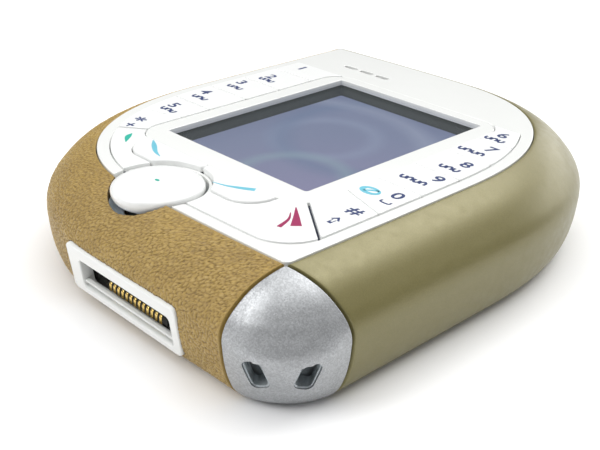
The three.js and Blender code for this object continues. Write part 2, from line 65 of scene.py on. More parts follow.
# The tip cap's crease, the brow over it, the groove under it, and the band that leans in below.
CREASE, CREASE_SAG, BROW, GROOVE, BAND_STEP, BAND_SLOPE = 9.7, 1.6, 0.62, 0.15, 0.05, 0.12
BROW_H, GROOVE_H, STEP_H, BAND_H, FOOT_H = 3.2, 0.7, 0.06, 4.2, 2.2
APEX = np.array([29.7, -34.9])
SEAM_RIGHT, SEAM_LEFT = 25.0, -108.0
WINDOW = dict(x=0.6, y=0.75, w=31.8, h=39.2)
BEZEL = dict(x0=-18.3, x1=19.9, y0=-23.3, y1=22.4, r=4.5)
KEY_A, KEY_B = 28.4, 33.7
ROWS = [21.8, 15.5, 7.7, -0.1, -8.15]
HASH_LINE = np.array([[17, -13.4], [21.8, -14.95], [31, -17.7]])
CALL_LINE = np.array([[12.2, -16], [34, -31.9]])
DISC = np.array([0.9, -32.6])
NOTCH_R, COVER_NOTCH_R = 7.6, 7.0
PORT = dict(x=6, z=6.4, w=25.6, h=7.8, depth=1.9, tilt=8)
POWER = dict(x=-2, w=9, h=3, z=9)
BATTERY = dict(x=0, y=-5.5, w=34, h=53)
CAMERA_AT, SPEAKER_AT = np.array([9, 31]), np.array([-12, 31])
SCREWS = [[24, 20], [-24, -20], [25, -27], [-25, 27]]
EARPIECE_AT = np.array([-15.5, 27.2])


# ---------------- outlines
def leaf(a, b, corner, fine=3):
    """The leaf: two round quadrants, and two that end in a point. Counterclockwise from +X."""
    t = np.linspace(0, np.pi / 2, 60 * fine + 1)[:-1]
    square = 2 / 2.3
    tip = np.array([-(a - 0.3), b - 0.7])
    s_top, s_side = 1 + corner / tip[0], 1 - corner / tip[1]

    def top(s):
        return np.stack([s * tip[0], b - (b - tip[1]) * s * s], -1)

    def side(s):
        return np.stack([-(a - (a + tip[0]) * s * s), s * tip[1]], -1)

    start, end = top(np.array(s_top)), side(np.array(s_side))
    pull_1, pull_2 = start + 0.55 * (tip - start), end + 0.55 * (tip - end)
    q = np.linspace(0, 1, 30 * fine + 1)[:-1, None]
    along = np.linspace(0, 1, 24 * fine + 1)[:-1]
    half = np.concatenate([
        np.stack([a * np.cos(t) ** square, b * np.sin(t) ** square], 1),
        top(s_top * along),
        (1 - q) ** 3 * start + 3 * q * (1 - q) ** 2 * pull_1 + 3 * q * q * (1 - q) * pull_2 + q**3 * end,
        side(s_side * (1 - along)),
    ])
    return np.concatenate([half, -half])


def leaf_at(share, corner, fine=3):
    return leaf(FACE_A + BULGE * share, FACE_B + BULGE * share, corner, fine)


def ray(angle):
    """Unit vectors at angles in radians."""
    return np.stack([np.cos(angle), np.sin(angle)], -1)


def circle(centre, r, n=96):
    return np.asarray(centre, float) + r * ray(np.linspace(0, 2 * np.pi, n, endpoint=False))


def rounded(x0, x1, y0, y1, r, n=10):
    arc = r * ray(np.linspace(0, np.pi / 2, n))
    turned = [arc, arc[:, ::-1] * [-1, 1], -arc, arc[:, ::-1] * [1, -1]]
    middles = [(x1 - r, y1 - r), (x0 + r, y1 - r), (x0 + r, y0 + r), (x1 - r, y0 + r)]
    return np.concatenate([np.array(m) + p for m, p in zip(middles, turned)])


def block(x, y, w, h, r, n=10):
    """A rounded rectangle about its middle."""
    return rounded(x - w / 2, x + w / 2, y - h / 2, y + h / 2, r, n)


def turn(points, degrees):
    c, s = math.cos(math.radians(degrees)), math.sin(math.radians(degrees))
    return np.stack([points[:, 0] * c - points[:, 1] * s, points[:, 0] * s + points[:, 1] * c], 1)


def on_diagonal(along, out, z):
    """Points from their places along and out of the diagonal that ends in the lower right tip."""
    along, out = along / math.sqrt(2), out / math.sqrt(2)
    return np.stack([along + out, along - out, z], 1)


def tidy_loop(points):
    step = np.linalg.norm(np.roll(points, -1, 0) - points, axis=1)
    return points[step > 1e-4]


def region(inside, outside=()):
    """Boundary loops of the area inside every outline of one list and outside all of the other."""
    outlines = [tidy_loop(np.asarray(p, float)) for p in (*inside, *outside)]
    verts, faces = [], []
    for p in outlines:
        faces.append(list(range(len(verts), len(verts) + len(p))))
        verts += [Vector(q) for q in p]
    v, _, f, _, _, source = delaunay_2d_cdt(verts, [], faces, 0, 1e-5, True)
    want = set(range(len(inside)))
    kept = [face for face, src in zip(f, source) if set(src) == want]
    edges = {(a, b) for face in kept for a, b in zip(face, face[1:] + face[:1])}
    after = {a: b for a, b in edges if (b, a) not in edges}
    loops = []
    while after:
        start, at = after.popitem()
        loop = [start]
        while at != start:
            loop.append(at)
            at = after.pop(at)
        loops.append(np.array([v[i][:] for i in loop]))
    loops = [p for p in loops if abs(area(p)) > 0.05]
    return sorted(loops, key=lambda p: -abs(area(p)))


def area(p):
    q = np.roll(p, -1, 0)
    return 0.5 * np.sum(p[:, 0] * q[:, 1] - q[:, 0] * p[:, 1])


def fill(loops):
    """Triangles inside the first loop and outside the others, as indices into all their points."""
    points = [Vector(q) for p in loops for q in p]
    starts = np.cumsum([0] + [len(p) for p in loops])
    faces = [list(range(a, b)) if area(p) > 0 else list(range(a, b))[::-1]
             for a, b, p in zip(starts, starts[1:], loops)]
    v, _, f, origin, _, source = delaunay_2d_cdt(points, [], faces, 0, 1e-7, True)
    near = [o[0] if o else min(range(len(points)), key=lambda k: (points[k] - q).length)
            for o, q in zip(origin, v)]
    found = [[near[k] for k in face] for face, src in zip(f, source) if set(src) == {0}]
    return [face for face in found if len(set(face)) == len(face)]


def run_along(points):
    """The length of the path up to each of its points."""
    return np.concatenate([[0], np.cumsum(np.linalg.norm(np.diff(points, axis=0), axis=1))])


def soften(points, step=0.14, reach=0.16):
    """Even spacing round a closed loop, with its corners rounded over."""
    closed = np.concatenate([points, points[:1]])
    run = run_along(closed)
    n = max(24, int(run[-1] / step))
    at = np.arange(n) * run[-1] / n
    p = np.stack([np.interp(at, run, closed[:, k]) for k in (0, 1)], 1)
    half = int(3 * reach / step) + 1
    offsets = np.arange(-half, half + 1)
    weights = np.exp(-0.5 * (offsets * step / reach) ** 2)
    return sum(w * np.roll(p, -k, 0) for k, w in zip(offsets, weights)) / weights.sum()


# ---------------- meshes
def mesh_object(name, verts, faces):
    mesh = bpy.data.meshes.new(name)
    mesh.from_pydata((np.asarray(verts, float) * MM).tolist(), [], [list(map(int, f)) for f in faces])
    return new_object(name, mesh)


def piece(name, verts, faces, body, look, slot, replaces=(), sharp=40):
    return settle(mesh_object(name, verts, faces), body, look, replaces, sharp)


def settle(obj, body, look, replaces=(), sharp=40):
    """Smooths a piece between its sharp edges, and gives it its material and body."""
    mesh = obj.data
    mesh.validate()
    mesh.polygons.foreach_set("use_smooth", [True] * len(mesh.polygons))
    mesh.set_sharp_from_angle(angle=math.radians(sharp))
    mesh.materials.clear()
    mesh.materials.append(look)
    mesh.update()
    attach(obj, body)
    if replaces:
        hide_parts(*replaces)
    return obj


def tool(verts, faces):
    return mesh_object("tool", verts, faces)


def carve(obj, *cutters, sharp=40):
    """Cuts the tools out of a piece and removes them."""
    for cutter in cutters:
        modifier = obj.modifiers.new("cut", "BOOLEAN")
        modifier.operation = "DIFFERENCE"
        modifier.solver = "EXACT"
        modifier.object = cutter
        bpy.context.view_layer.update()
        graph = bpy.context.evaluated_depsgraph_get()
        mesh = bpy.data.meshes.new_from_object(obj.evaluated_get(graph))
        obj.modifiers.clear()
        old, obj.data = obj.data, mesh
        bpy.data.meshes.remove(old)
        bpy.data.objects.remove(cutter)
    obj.data.set_sharp_from_angle(angle=math.radians(sharp))
    return obj


def at_height(outline, z):
    return np.column_stack([outline, np.full(len(outline), z)])


def side_quads(low, high, n):
    """Faces between two outlines of n points that start at the vertices low and high."""
    i = np.arange(n)
    j = (i + 1) % n
    return np.stack([low + i, low + j, high + j, high + i], 1).tolist()


def cap_faces(verts, rows, step):
    """Flat faces over outlines given by their vertex numbers: the first is the rim, the others holes."""
    index = np.concatenate(rows)
    return [[int(index[k]) for k in tri][::step] for tri in fill([verts[row, :2] for row in rows])]


def rings_mesh(rings):
    """Joins outlines of equal length, each (n, 3), into a skin with flat ends."""
    n, last = len(rings[0]), len(rings) - 1
    verts = np.concatenate(rings)
    faces = []
    for level in range(last):
        faces += side_quads(level * n, (level + 1) * n, n)
    faces += cap_faces(verts, [np.arange(n)], -1)
    faces += cap_faces(verts, [np.arange(last * n, (last + 1) * n)], 1)
    return verts, faces


def prism(outline, z0, z1):
    return rings_mesh([at_height(outline, z0), at_height(outline, z1)])


def loft_mesh(rings):
    """Joins outlines of equal length, each (n, 3), into a skin that closes on its first one."""
    n = len(rings[0])
    faces = []
    for level in range(len(rings)):
        faces += side_quads(level * n, (level + 1) % len(rings) * n, n)
    return np.concatenate(rings), faces


def inward(loop):
    """Unit vectors to the left of travel, into the material, with the mitre at each corner."""
    before = loop - np.roll(loop, 1, 0)
    after = np.roll(loop, -1, 0) - loop
    unit = [d / np.maximum(np.linalg.norm(d, axis=1), 1e-9)[:, None] for d in (before, after)]
    left = [np.stack([-d[:, 1], d[:, 0]], 1) for d in unit]
    total = left[0] + left[1]
    total /= np.maximum(np.linalg.norm(total, axis=1), 1e-9)[:, None]
    return total / np.maximum(np.sum(total * left[0], axis=1), 0.5)[:, None]


def stack_mesh(loops, rows):
    """A flat body from [inset, height] rows. The first loop is its rim and the others are holes."""
    verts, faces, top_rows, low_rows, count = [], [], [], [], 0
    for k, loop in enumerate(loops):
        loop = loop if (area(loop) > 0) == (k == 0) else loop[::-1]
        n, into = len(loop), inward(loop)
        verts += [at_height(loop + into * inset, z) for inset, z in rows]
        for level in range(len(rows) - 1):
            faces += side_quads(count + level * n, count + (level + 1) * n, n)
        low_rows.append(np.arange(count, count + n))
        count += len(rows) * n
        top_rows.append(np.arange(count - n, count))
    verts = np.concatenate(verts)
    return verts, faces + cap_faces(verts, low_rows, -1) + cap_faces(verts, top_rows, 1)


# A plate's small lower bevel, and the flat that each bevel ends in.
FOOT, LIP = 0.05, 0.06


def plate_mesh(loops, z0, z1, bevel=0.12, steps=4):
    """A flat plate with rounded edges."""
    rows = [(FOOT + LIP, z0), (FOOT, z0), (0, z0 + FOOT)]
    for a in np.linspace(0, np.pi / 2, steps + 1):
        rows.append((bevel * (1 - np.cos(a)), z1 - bevel * (1 - np.sin(a))))
    return stack_mesh(loops, [*rows, (bevel + LIP, z1)])


def plate(name, loops, z0, z1, body, look, slot, replaces=(), bevel=0.12, place=None, steps=4):
    verts, faces = plate_mesh(loops, z0, z1, bevel, steps)
    if place is not None:
        verts = place(verts)
    return piece(name, verts, faces, body, look, slot, replaces)


def turned(name, centre, profile, body, look, slot, replaces=(), sides=96):
    """Turns [radius, height] points, which start and end on the axis or close on themselves."""
    verts, faces, rows = [], [], []
    for r, z in profile:
        on_axis = r < 1e-6
        rows.append(np.full(sides, len(verts)) if on_axis else np.arange(len(verts), len(verts) + sides))
        verts += [[*centre, z]] if on_axis else at_height(circle(centre, r, sides), z).tolist()
    closed = int(profile[0][0] > 1e-6)
    for low, high in zip(rows, rows[1:] + rows[:closed]):
        for i in range(sides):
            j = (i + 1) % sides
            quad = [low[i], low[j], high[j], high[i]]
            face = [v for k, v in enumerate(quad) if v not in quad[:k]]
            if len(face) > 2:
                faces.append(face)
    return piece(name, verts, faces, body, look, slot, replaces)


def smooth_path(points, steps=8, closed=False):
    """A smooth curve through the points, with the same number of steps in each span."""
    p = np.asarray(points, float)
    if closed:
        p = np.concatenate([p[-1:], p, p[:2]])
    else:
        p = np.concatenate([2 * p[:1] - p[1:2], p, 2 * p[-1:] - p[-2:-1]])
    t = np.linspace(0, 1, steps, endpoint=False)[:, None]
    out = []
    for a, b, c, d in zip(p, p[1:], p[2:], p[3:]):
        out.append(b + 0.5 * t * (c - a + t * (2 * a - 5 * b + 4 * c - d + t * (3 * (b - c) + d - a))))
    if not closed:
        out.append(p[-2:-1])
    return np.concatenate(out)


def box_mesh(x0, x1, y0, y1, z0, z1):
    return prism(np.array([[x0, y0], [x1, y0], [x1, y1], [x0, y1]], float), z0, z1)


# ---------------- materials
class Nodes:
    """Builds the node tree of a material or of the world."""

    def __init__(self, owner):
        owner.use_nodes = True
        self.owner, self.tree = owner, owner.node_tree
        self.tree.nodes.clear()
        self.places = self.node("TexCoord").outputs
        self.at = self.places["Object"]

    def feed(self, socket, value):
        if isinstance(value, bpy.types.NodeSocket):
            self.tree.links.new(value, socket)
        else:
            socket.default_value = value

    def node(self, kind, inputs=(), **settings):
        n = self.tree.nodes.new("ShaderNode" + kind)
        for key, value in settings.items():
            setattr(n, key, value)
        for key, value in dict(inputs).items():
            self.feed(n.inputs[key], value)
        return n

    def vector(self, operation, one, two):
        second = "Scale" if operation == "SCALE" else 1
        return self.node("VectorMath", {0: one, second: two}, operation=operation).outputs[0]

    def noise(self, scale, detail=3, roughness=0.5, at=None):
        at = self.at if at is None else at
        return self.node("TexNoise", {
            "Vector": at, "Scale": scale, "Detail": detail, "Roughness": roughness}).outputs["Fac"]

    def spread(self, value, low, high, start=0.0, end=1.0):
        """Takes start..end to low..high, and holds the ends."""
        return self.node("MapRange", {0: value, 1: start, 2: end, 3: low, 4: high}).outputs[0]

    def blend(self, factor, one, two):
        one, two = [(*v, 1) if isinstance(v, tuple) else v for v in (one, two)]
        return self.node("Mix", {0: factor, 6: one, 7: two}, data_type="RGBA").outputs[2]

    def bump(self, height, distance, strength=1.0, under=None):
        inputs = {"Height": height, "Distance": distance * MM, "Strength": strength}
        if under is not None:
            inputs["Normal"] = under
        return self.node("Bump", inputs).outputs[0]


class Look(Nodes):
    """A material: its nodes end in one shader."""

    def __init__(self, name):
        super().__init__(bpy.data.materials.new(name))
        self.shader = self.node("BsdfPrincipled")
        self.node("OutputMaterial", {"Surface": self.shader.outputs[0]})

    def finish(self, **sockets):
        """Links or sets the shader's sockets, and gives the material."""
        for key, value in sockets.items():
            self.feed(self.shader.inputs[key.replace("_", " ")], value)
        return self.owner


def shade(colour, share):
    return tuple(min(1.0, c * share) for c in colour)


def moulded(name, colour, rough, grain=0.004, grain_scale=900, vary=0.05, **sockets):
    """Moulded plastic or rubber: faint tone drift, uneven gloss and a fine skin texture."""
    m = Look(name)
    drift = m.spread(m.noise(90, 2), 0, 1, 0.3, 0.7)
    return m.finish(Base_Color=m.blend(drift, shade(colour, 1 - vary), colour),
                    Roughness=m.spread(m.noise(400), rough * 0.85, rough * 1.2, 0.3, 0.7),
                    Normal=m.bump(m.noise(grain_scale, 2), grain), **sockets)


def sparkle(name, colour, rough, metal, flake, tilt, vary=0.1, lift=0.25, **sockets):
    """Lacquer with fine metal flakes, each tipped its own way."""
    m = Look(name)
    flakes = [m.node("TexVoronoi", {"Vector": m.at, "Scale": scale}).outputs["Color"]
              for scale in (flake, flake * 2.1)]
    bright = m.node("SeparateColor", {0: flakes[0]}).outputs[0]
    low = shade(colour, 1 - vary)
    tone = m.blend(m.spread(bright, 0, 1, 0.15, 1.0), low, shade(colour, 1 + lift))
    tips = [m.vector("SUBTRACT", tip, (0.5, 0.5, 0.5)) for tip in flakes]
    tipped = m.vector("SCALE", m.vector("ADD", *tips), tilt)
    leaned = m.vector("ADD", m.node("NewGeometry").outputs["Normal"], tipped)
    drift = m.spread(m.noise(60, 2), 0.0, 0.35, 0.3, 0.7)
    return m.finish(Base_Color=m.blend(drift, tone, low),
                    Roughness=m.spread(m.noise(700), rough * 0.9, rough * 1.15, 0.3, 0.7),
                    Normal=m.node("VectorMath", {0: leaned}, operation="NORMALIZE").outputs[0],
                    Metallic=metal, **sockets)


def leather_look(name):
    """Tan leather: painted shade in the valleys and a painted highlight on the tops of the pebbles, with
    pores and flecks.
    """
    m = Look(name)
    height = m.node("Attribute", attribute_name="grain").outputs["Fac"]
    fine = m.noise(2600, 3, 0.6)
    pores = m.node("TexVoronoi", {"Vector": m.at, "Scale": 2300}, feature="DISTANCE_TO_EDGE")
    drift = m.spread(m.noise(55), 0, 1, 0.3, 0.7)
    tone = m.blend(drift, (0.26, 0.163, 0.032), (0.325, 0.212, 0.047))
    # Painted highlight: the raised tops of the pebbles are blended paler by their height.
    tone = m.blend(m.spread(height, 0, 0.75, 0.45, 1.0), tone, (0.46, 0.315, 0.095))
    # Painted shade: the sunken valleys of the grain are blended dark by their height.
    tone = m.blend(m.spread(height, 0.9, 0, 0.0, 0.5), tone, (0.12, 0.066, 0.016))
    tone = m.blend(m.spread(fine, 0, 0.25, 0.35, 0.75), tone, (0.66, 0.47, 0.18))
    relief = m.bump(fine, 0.03, 0.6, m.bump(height, 0.16, 0.9))
    holes = m.spread(pores.outputs["Distance"], 0, 1, 0, 0.12)
    return m.finish(Base_Color=tone, Roughness=m.spread(height, 0.6, 0.3),
                    Normal=m.bump(holes, 0.02, 0.7, relief), Specular_IOR_Level=0.5,
                    Sheen_Weight=0.02, Sheen_Roughness=0.4)


def clear_look(name, alpha, tint):
    """Clear plastic or glass with faint smudges."""
    m = Look(name)
    smudge = m.noise(120)
    return m.finish(Base_Color=m.blend(smudge, tint, shade(tint, 0.97)),
                    Roughness=m.spread(smudge, 0.04, 0.088, 0.4, 0.8), Alpha=alpha, IOR=1.45)


def display_look(name):
    """A soft abstract picture: bent bands of light on blue-grey, with a warmer corner."""
    m = Look(name)
    parts = m.node("SeparateXYZ", {0: m.at}).outputs
    down = m.spread(parts[1], 0, 1, 0.022, -0.02)
    across = m.spread(parts[0], 0, 1, -0.016, 0.018)
    corner = m.node("Math", {0: down, 1: across}, operation="MULTIPLY").outputs[0]
    field = m.blend(down, (0.17, 0.20, 0.32), (0.19, 0.215, 0.33))
    field = m.blend(m.spread(corner, 0, 0.6, 0.15, 0.75), field, (0.27, 0.235, 0.40))
    for centre, radius, width, colour, amount in (
            ((-0.002, 0.003, 0.0149), 0.0085, 0.0024, (0.26, 0.31, 0.44), 0.4),
            ((0.004, 0.010, 0.0149), 0.0165, 0.0035, (0.13, 0.18, 0.30), 0.6),
            ((-0.004, -0.006, 0.0149), 0.0245, 0.0030, (0.30, 0.34, 0.46), 0.5),
            ((0.006, -0.012, 0.0149), 0.0085, 0.0022, (0.24, 0.33, 0.40), 0.6)):
        reach = m.node("VectorMath", {0: m.at, 1: centre}, operation="DISTANCE").outputs["Value"]
        away = m.node("Math", {0: reach, 1: radius}, operation="SUBTRACT").outputs[0]
        off = m.node("Math", {0: away}, operation="ABSOLUTE").outputs[0]
        field = m.blend(m.spread(off, amount, 0, 0, width), field, colour)
    return m.finish(Base_Color=m.blend(0.9, field, (0.0, 0.0, 0.0)), Emission_Color=field,
                    Roughness=m.spread(m.noise(300, 2), 0.30, 0.40), Emission_Strength=0.95,
                    Specular_IOR_Level=0.12)


def board_look(name):
    """Solder resist with tracks showing through as slightly lighter, raised lines."""
    m = Look(name)
    aslant = m.node("Mapping", {"Vector": m.at, "Rotation": (0, 0, math.radians(45))}).outputs[0]
    tracks = m.node("TexVoronoi", {"Vector": aslant, "Scale": 420}, distance="MANHATTAN")
    lines = m.spread(tracks.outputs["Distance"], 0, 1, 0.45, 0.55)
    return m.finish(Base_Color=m.blend(lines, (0.02, 0.13, 0.06), (0.05, 0.25, 0.12)),
                    Roughness=m.spread(m.noise(800, 2), 0.35, 0.5), Normal=m.bump(lines, 0.03))


def metal_look(name, colour, rough, stretch=(1, 14, 1), amount=0.006):
    """Sheet metal with a drawn grain."""
    m = Look(name)
    drawn = m.node("Mapping", {"Vector": m.at, "Scale": stretch}).outputs[0]
    grain = m.noise(500, 4, 0.6, drawn)
    return m.finish(Base_Color=m.blend(grain, shade(colour, 0.85), colour),
                    Roughness=m.spread(grain, rough * 0.7, rough * 1.3, 0.3, 0.7),
                    Normal=m.bump(grain, amount), Metallic=1.0)


def label_look(name):
    """A wrapped cell: charcoal film with a paler printed band and faint creases."""
    m = Look(name)
    band = m.spread(m.node("SeparateXYZ", {0: m.at}).outputs[1], 0, 1, 0.0085, 0.0090)
    wrap = m.noise(160, 4, 0.6)
    field = m.blend(band, (0.055, 0.06, 0.065), (0.36, 0.38, 0.40))
    return m.finish(Base_Color=m.blend(m.spread(wrap, 0, 0.3), field, (0.12, 0.13, 0.14)),
                    Roughness=m.spread(wrap, 0.3, 0.5), Normal=m.bump(wrap, 0.05))


white = moulded("gloss_white", (0.80, 0.81, 0.79), 0.16, 0.0015, 300, 0.015,
                Coat_Weight=0.5, Coat_Roughness=0.06)
key_white = moulded("key_white", (0.83, 0.84, 0.83), 0.22, 0.0015, 500, 0.015,
                    Coat_Weight=0.3, Coat_Roughness=0.12)
leather = leather_look("leather")
khaki = sparkle("satin_khaki", (0.19, 0.167, 0.062), 0.38, 0.25, 9000, 0.03, 0.05, 0.10,
                Coat_Weight=0.18, Coat_Roughness=0.3)
silver = sparkle("silver_sparkle", (0.40, 0.41, 0.42), 0.44, 0.75, 6000, 0.08, 0.10, 0.30)
pocket_grey = sparkle("pocket_grey", (0.42, 0.46, 0.48), 0.3, 0.35, 6000, 0.03, 0.10, 0.1, Coat_Weight=0.4)
dark_plastic = moulded("dark_plastic", (0.02, 0.022, 0.02), 0.45, 0.01, 1500, 0.3)
grey_plastic = moulded("grey_plastic", (0.26, 0.26, 0.25), 0.5, 0.02, 1400, 0.12)
wall_plastic = moulded("wall_plastic", (0.05, 0.054, 0.046), 0.6, 0.004, 1200, 0.1, Specular_IOR_Level=0.2)
navy = moulded("navy_rubber", (0.012, 0.018, 0.05), 0.6, 0.004, 1500, 0.2)
rubber = moulded("silicone", (0.62, 0.63, 0.60), 0.6, 0.008, 900, 0.05)
card = moulded("card_white", (0.78, 0.78, 0.76), 0.45, 0.004, 700, 0.04)
milky = moulded("milky_ring", (0.86, 0.90, 0.94), 0.25, 0.002, 500, 0.05, Subsurface_Weight=0.3)
clear = clear_look("clear_lens", 0.10, (0.22, 0.25, 0.27))
camera_glass = clear_look("camera_glass", 0.35, (0.35, 0.4, 0.5))
screen = display_look("display_picture")
board = board_look("circuit_board")
tin = metal_look("tinned_sheet", (0.62, 0.62, 0.60), 0.3)
gold = metal_look("gold_flash", (0.83, 0.60, 0.20), 0.25, (1, 6, 1), 0.003)
cell = label_look("cell_wrap")
ink_navy, ink_blue, ink_sky, ink_pink, ink_teal = [
    moulded("ink_" + name, colour, 0.4, 0.001, 900, 0.1) for name, colour in {
        "navy": (0.035, 0.055, 0.16), "blue": (0.03, 0.30, 0.55), "sky": (0.15, 0.50, 0.62),
        "pink": (0.33, 0.02, 0.10), "teal": (0.02, 0.42, 0.32)}.items()]

# ---------------- side covers and tip caps
# Side profile as [height, share of the bulge, corner radius at the tip], from the foot up.
COVER_ROWS = [
    [0, 0.452, 7.4], [0, 0.51, 7.5], [0.18, 0.582, 7.7], [0.75, 0.69, 8.1], [1.9, 0.815, 8.5],
    [3.6, 0.905, 8.8], [6, 0.968, 9], [8.4, 0.995, 9], [9.5, 1, 9], [10.4, 0.992, 9], [11.3, 0.962, 8.7],
    [12.5, 0.888, 7.9], [13.8, 0.765, 6.8], [15.1, 0.615, 5.4], [16.2, 0.445, 3.8], [17, 0.275, 2.5],
    [17.55, 0.125, 1.3], [17.88, 0.012, 0.6]]
# The tip caps are a little leaner at mid height and end lower.
CAP_ROWS = [
    *COVER_ROWS[:5], [3.6, 0.9, 8.8], [6, 0.965, 9], [8.4, 0.994, 9], [9.5, 1, 9], [10.4, 0.985, 9],
    [11.3, 0.95, 8.7], [12.5, 0.878, 7.9], [13.8, 0.76, 6.8], *COVER_ROWS[13:17], [17.82, 0.032, 0.5]]
INNER_ROWS = [
    [0.35, 0.44, 6], [1.6, 0.5, 6.2], [3.6, 0.7, 7], [6, 0.77, 7.4], [10, 0.8, 7.4], [11.6, 0.7, 6.4],
    [13.4, 0.5, 4.6], [15, 0.26, 2.6], [16.2, 0.06, 1.0], [17, 0.0, 0.6], [17.7, 0.0, 0.5]]


def smooth_rows(table, stations):
    """Rows at shares 0 to 1 of the profile's length, on a smooth curve through the table."""
    table = np.array(table, float)
    run = run_along(table[:, :2] * [1, BULGE])
    slope = np.gradient(table, run, axis=0)
    at = np.asarray(stations) * run[-1]
    k = np.clip(np.searchsorted(run, at, side="right") - 1, 0, len(run) - 2)
    h = (run[k + 1] - run[k])[:, None]
    t = (at - run[k])[:, None] / h
    out = ((2 * t**3 - 3 * t**2 + 1) * table[k] + (t**3 - 2 * t**2 + t) * h * slope[k]
           + (3 * t**2 - 2 * t**3) * table[k + 1] + (t**3 - t**2) * h * slope[k + 1])
    out[:, 0] = np.maximum(out[:, 0], 0)
    out[:, 1] = np.minimum(out[:, 1], 1)
    return out, run[-1]


def crossing(outline, run, apex, degrees):
    """Arc length where the outline crosses the seam that leaves the apex."""
    way = ray(math.radians(degrees))
    rel = outline - apex
    side = way[0] * rel[:, 1] - way[1] * rel[:, 0]
    ahead = rel @ way
    following = np.roll(side, -1)
    hits = np.where((side * following <= 0) & (ahead > -1.0))[0]
    if not len(hits):
        return run[np.argmin(np.linalg.norm(rel, axis=1))]
    k = hits[np.argmin(np.abs(ahead[hits]))]
    t = side[k] / (side[k] - following[k])
    return run[k] + t * (run[k + 1] - run[k])


def patch(table, stations, start, end, columns):
    """A grid of points on the side skin between two seams: rows up, columns along."""
    rows, height = smooth_rows(table, stations)
    grid, lengths = [], []
    for z, share, corner in rows:
        outline = leaf_at(share, corner, 4)
        closed = np.concatenate([outline, outline[:1]])
        run = run_along(closed)
        s0, s1 = crossing(outline, run, *start), crossing(outline, run, *end)
        span = (s1 - s0) % run[-1]
        if span > 0.7 * run[-1]:
            s0, span = s1 + (span - run[-1]) / 2, 0.02
        rim = RIM * min(1, 0.3 * span / FILLET)
        inner = np.linspace(rim[-1], span - rim[-1], columns)[1:-1]
        at = s0 + np.concatenate([rim, inner, span - rim[::-1]])
        xy = [np.interp(at % run[-1], run, closed[:, k]) for k in (0, 1)]
        grid.append(np.stack([*xy, np.full(len(at), z)], 1))
        lengths.append(at - s0)
    return np.array(grid), height, np.array(lengths)


def grid_normals(p):
    n = np.cross(np.gradient(p, axis=1), np.gradient(p, axis=0))
    return n / np.maximum(np.linalg.norm(n, axis=2), 1e-9)[..., None]


# A skin's edges are rounded over: places in from the edge, and how far each is sunk.
FILLET = 0.16
RIM = FILLET * np.array([0, 0.29, 0.62, 1.0])
RIM_DEPTH = FILLET * (1 - np.sqrt(1 - (1 - RIM / FILLET) ** 2))


def skin_mesh(table, start, end, rows, columns, shape=None):
    """A closed shell: a fine outer skin with rounded rims, and a plain inner one."""
    _, height = smooth_rows(table, [0])
    rim = RIM / height
    stations = np.concatenate([rim, np.linspace(rim[-1], 1 - rim[-1], rows)[1:-1], 1 - rim[::-1]])
    p, _, lengths = patch(table, stations, start, end, columns)
    normals = grid_normals(p)
    up, along = [np.concatenate([RIM_DEPTH, np.zeros(n - 2), RIM_DEPTH[::-1]]) for n in (rows, columns)]
    depth = np.maximum(up[:, None], along[None, :])
    grain = np.full(depth.shape, 0.6)
    if shape is not None:
        p, depth, grain = shape(p, normals, depth, lengths, stations * height)
        normals = grid_normals(p)
    outer = p - normals * depth[..., None]
    q, _, _ = patch(INNER_ROWS, stations, start, end, columns)
    r, c = depth.shape
    index = np.arange(r * c).reshape(r, c)
    verts = np.concatenate([outer.reshape(-1, 3), q.reshape(-1, 3)])
    low = index + r * c

    def quads(a, b, d, e):
        return np.stack([x.ravel() for x in (a, b, d, e)], 1).tolist()

    faces = quads(index[:-1, :-1], index[:-1, 1:], index[1:, 1:], index[1:, :-1])
    faces += quads(low[:-1, :-1], low[1:, :-1], low[1:, 1:], low[:-1, 1:])
    faces += quads(index[0, 1:], index[0, :-1], low[0, :-1], low[0, 1:])
    faces += quads(index[-1, :-1], index[-1, 1:], low[-1, 1:], low[-1, :-1])
    faces += quads(index[:-1, 0], index[1:, 0], low[1:, 0], low[:-1, 0])
    faces += quads(index[1:, -1], index[:-1, -1], low[:-1, -1], low[1:, -1])
    return verts, faces, np.concatenate([grain.ravel(), np.full(r * c, 0.5)])


def pebbles(u, v, cell, seed, stretch=1.0):
    """Height 0 to 1 of a pebbled grain: rounded cells parted by narrow valleys."""
    rng = np.random.default_rng(seed)
    gu, gv = u / (cell * stretch), v / cell
    gu, gv = gu + 0.30 * np.sin(gv * 1.9 + 0.7 * np.sin(gu * 0.8)), gv + 0.30 * np.sin(gu * 1.6)
    iu, iv = np.floor(gu).astype(int), np.floor(gv).astype(int)
    iu0, iv0 = iu.min() - 2, iv.min() - 2
    jitter = rng.random((iu.max() - iu0 + 4, iv.max() - iv0 + 4, 3))
    best, second, tone = np.full(gu.shape, 9.0), np.full(gu.shape, 9.0), np.zeros(gu.shape)
    for a in (-1, 0, 1):
        for b in (-1, 0, 1):
            j = jitter[iu + a - iu0, iv + b - iv0]
            d = np.hypot(iu + a + 0.12 + 0.76 * j[..., 0] - gu, iv + b + 0.12 + 0.76 * j[..., 1] - gv)
            nearer = d < best
            second = np.where(nearer, best, np.minimum(second, d))
            tone = np.where(nearer, j[..., 2], tone)
            best = np.where(nearer, d, best)
    edge = np.clip((second - best) / 0.38, 0, 1)
    return edge * edge * (3 - 2 * edge) * (0.72 + 0.28 * tone)


LEATHER_DEPTH = 0.16


